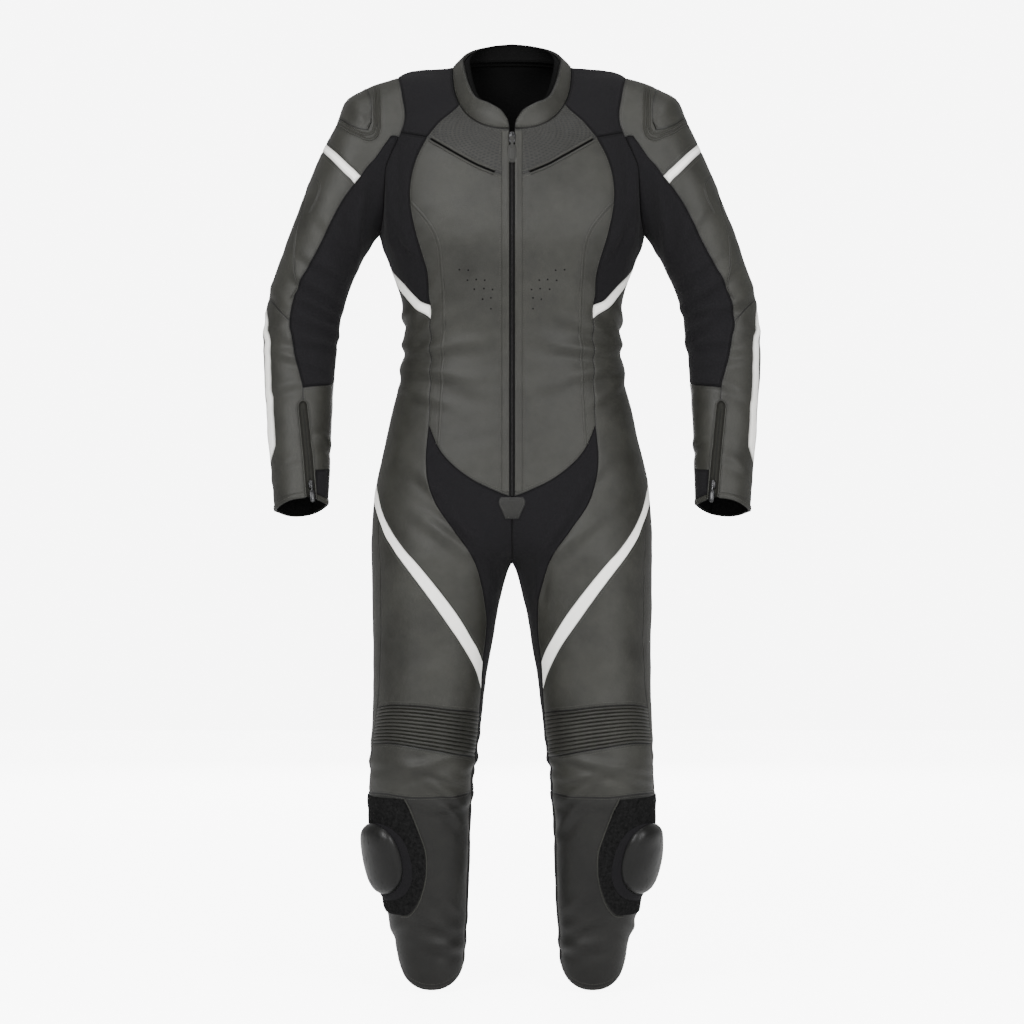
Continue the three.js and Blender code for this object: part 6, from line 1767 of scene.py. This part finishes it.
# Cuff zips: tape in a piped channel, coil, slider and pull
cuff_tape = Patch(
    sleeve, level(zip_outer_side[CHANNEL_START], zip_inner_side[CHANNEL_START], 1),
    zip_inner_side[CHANNEL_START:],
    level((sleeve.last, ZIP_CUFF[0]), (sleeve.last, ZIP_CUFF[1]), 1), zip_outer_side[CHANNEL_START:])
panel("cuff_zip", cuff_tape, CUFF_TAPE, "zip_metal", wall=1.2, dip=0.0, lift=-0.7)
cuff_middle = level(zip_head + (0.2, 0), (sleeve.last - 0.03, sum(ZIP_CUFF) / 2), 6)
cuff_coil, cuff_channel, cuff_slider, cuff_puller = Trim(), Trim(), Trim(), Trim()
for suffix, side in SIDES:
    p, n = on_line(sleeve, side, cuff_middle, -0.7)
    cuff_coil.add(side, grains(p, n, 1.7, 1.3, 3.0, 0.6))
    for line in (zip_outer_side, zip_inner_side):
        q, m = on_line(sleeve, side, line)
        cuff_channel.add(side, band(q, m, PIPING))
    place = cuff_middle[50]
    at, out = on_line(sleeve, side, np.stack([place, place]))
    at, out = at[0], out[0]
    down = unit(p[52] - p[48])
    for part in zip_slider(at + out * 0.2, out, down, 12, 7.5):
        cuff_slider.add(side, part)
    pin = np.array([284.229, -112.964, -595.247])
    for part in zip_pull(pin, out, down, 25, 7.5):
        cuff_puller.add(side, part)
cuff_coil.make("cuff_coil_", COIL, "zip_metal", replaced="cuff_zip_")
cuff_slider.make("cuff_slider_", METAL, "zip_metal", replaced="cuff_zip_")
cuff_channel.make("cuff_channel_", LEATHER, "leather")
cuff_puller.make(
    "cuff_pull_grip_", METAL, "zip_metal", rides={1: "cuff_pull_left", -1: "cuff_pull_right"},
    replaced="cuff_pull_")

WITH_PIECES = {("front", 1): ["stitching_l", "raised_seams_l", "vent_slots_and_holes_l"],
               ("front", -1): ["stitching_r", "raised_seams_r", "vent_slots_and_holes_r"],
               ("forearm", 1): ["cuff_channel_l"], ("forearm", -1): ["cuff_channel_r"],
               ("wrist", 1): ["wrist_insert_l"], ("wrist", -1): ["wrist_insert_r"]}
for piece, flat, area, name, side in SHEETS:
    if name == "cuff_zip":
        continue
    extra = [bpy.data.objects[n] for n in WITH_PIECES.get((name, side), [])]


# Floor, light and camera
def seen_white(tree, lit):
    """A strength for light that falls on things, and a stronger one that only the camera sees."""
    path = tree.nodes.new("ShaderNodeLightPath")
    strength = node(tree, "ShaderNodeMapRange")
    strength.inputs["To Min"].default_value, strength.inputs["To Max"].default_value = lit, 7.5
    tree.links.new(path.outputs["Is Camera Ray"], strength.inputs["Value"])
    return strength.outputs["Result"]


def stage_and_camera():
    bpy.ops.mesh.primitive_plane_add(size=12, location=(0, 0, -1.33))
    floor = bpy.context.object
    floor.name = "floor"
    material, tree, shader = new_material("pale_floor")
    shader.inputs["Base Color"].default_value = (0.9, 0.9, 0.9, 1)
    shader.inputs["Roughness"].default_value = 0.95
    shader.inputs["Emission Color"].default_value = (1, 1, 1, 1)
    tree.links.new(seen_white(tree, 0.12), shader.inputs["Emission Strength"])
    floor.data.materials.append(material)
    world = bpy.data.worlds.new("studio")
    bpy.context.scene.world = world
    world.use_nodes = True
    sky = world.node_tree
    sky.nodes["Background"].inputs["Color"].default_value = (1, 1, 1, 1)
    sky.links.new(seen_white(sky, 0.6), sky.nodes["Background"].inputs["Strength"])
    lights = [
        # name, place, turned by degrees, size, power
        ("key", (-1.5, -3.4, 1.1), (65, 0, -24), 1.6, 165),
        ("fill", (1.9, -3.2, 0.3), (74, 0, 30), 1.6, 108),
        ("over", (0, -0.9, 2.2), (20, 0, 0), 1.4, 40),
        ("behind", (0, 4.2, 0.5), (-76, 0, 0), 2.2, 110),
    ]
    for name, place, turn, size, power in lights:
        light = bpy.data.lights.new(name, "AREA")
        light.size, light.energy = size, power
        lamp = bpy.data.objects.new(name, light)
        lamp.location, lamp.rotation_euler = place, [math.radians(a) for a in turn]
        bpy.context.scene.collection.objects.link(lamp)
    camera = bpy.data.cameras.new("camera")
    camera.lens, camera.sensor_width = 36 * 5 / 1.4848, 36
    camera.clip_end = 100
    eye = bpy.data.objects.new("camera", camera)
    eye.location, eye.rotation_euler = (0, -5, -0.6337), (math.radians(90), 0, 0)
    bpy.context.scene.collection.objects.link(eye)
    bpy.context.scene.camera = eye


stage_and_camera()
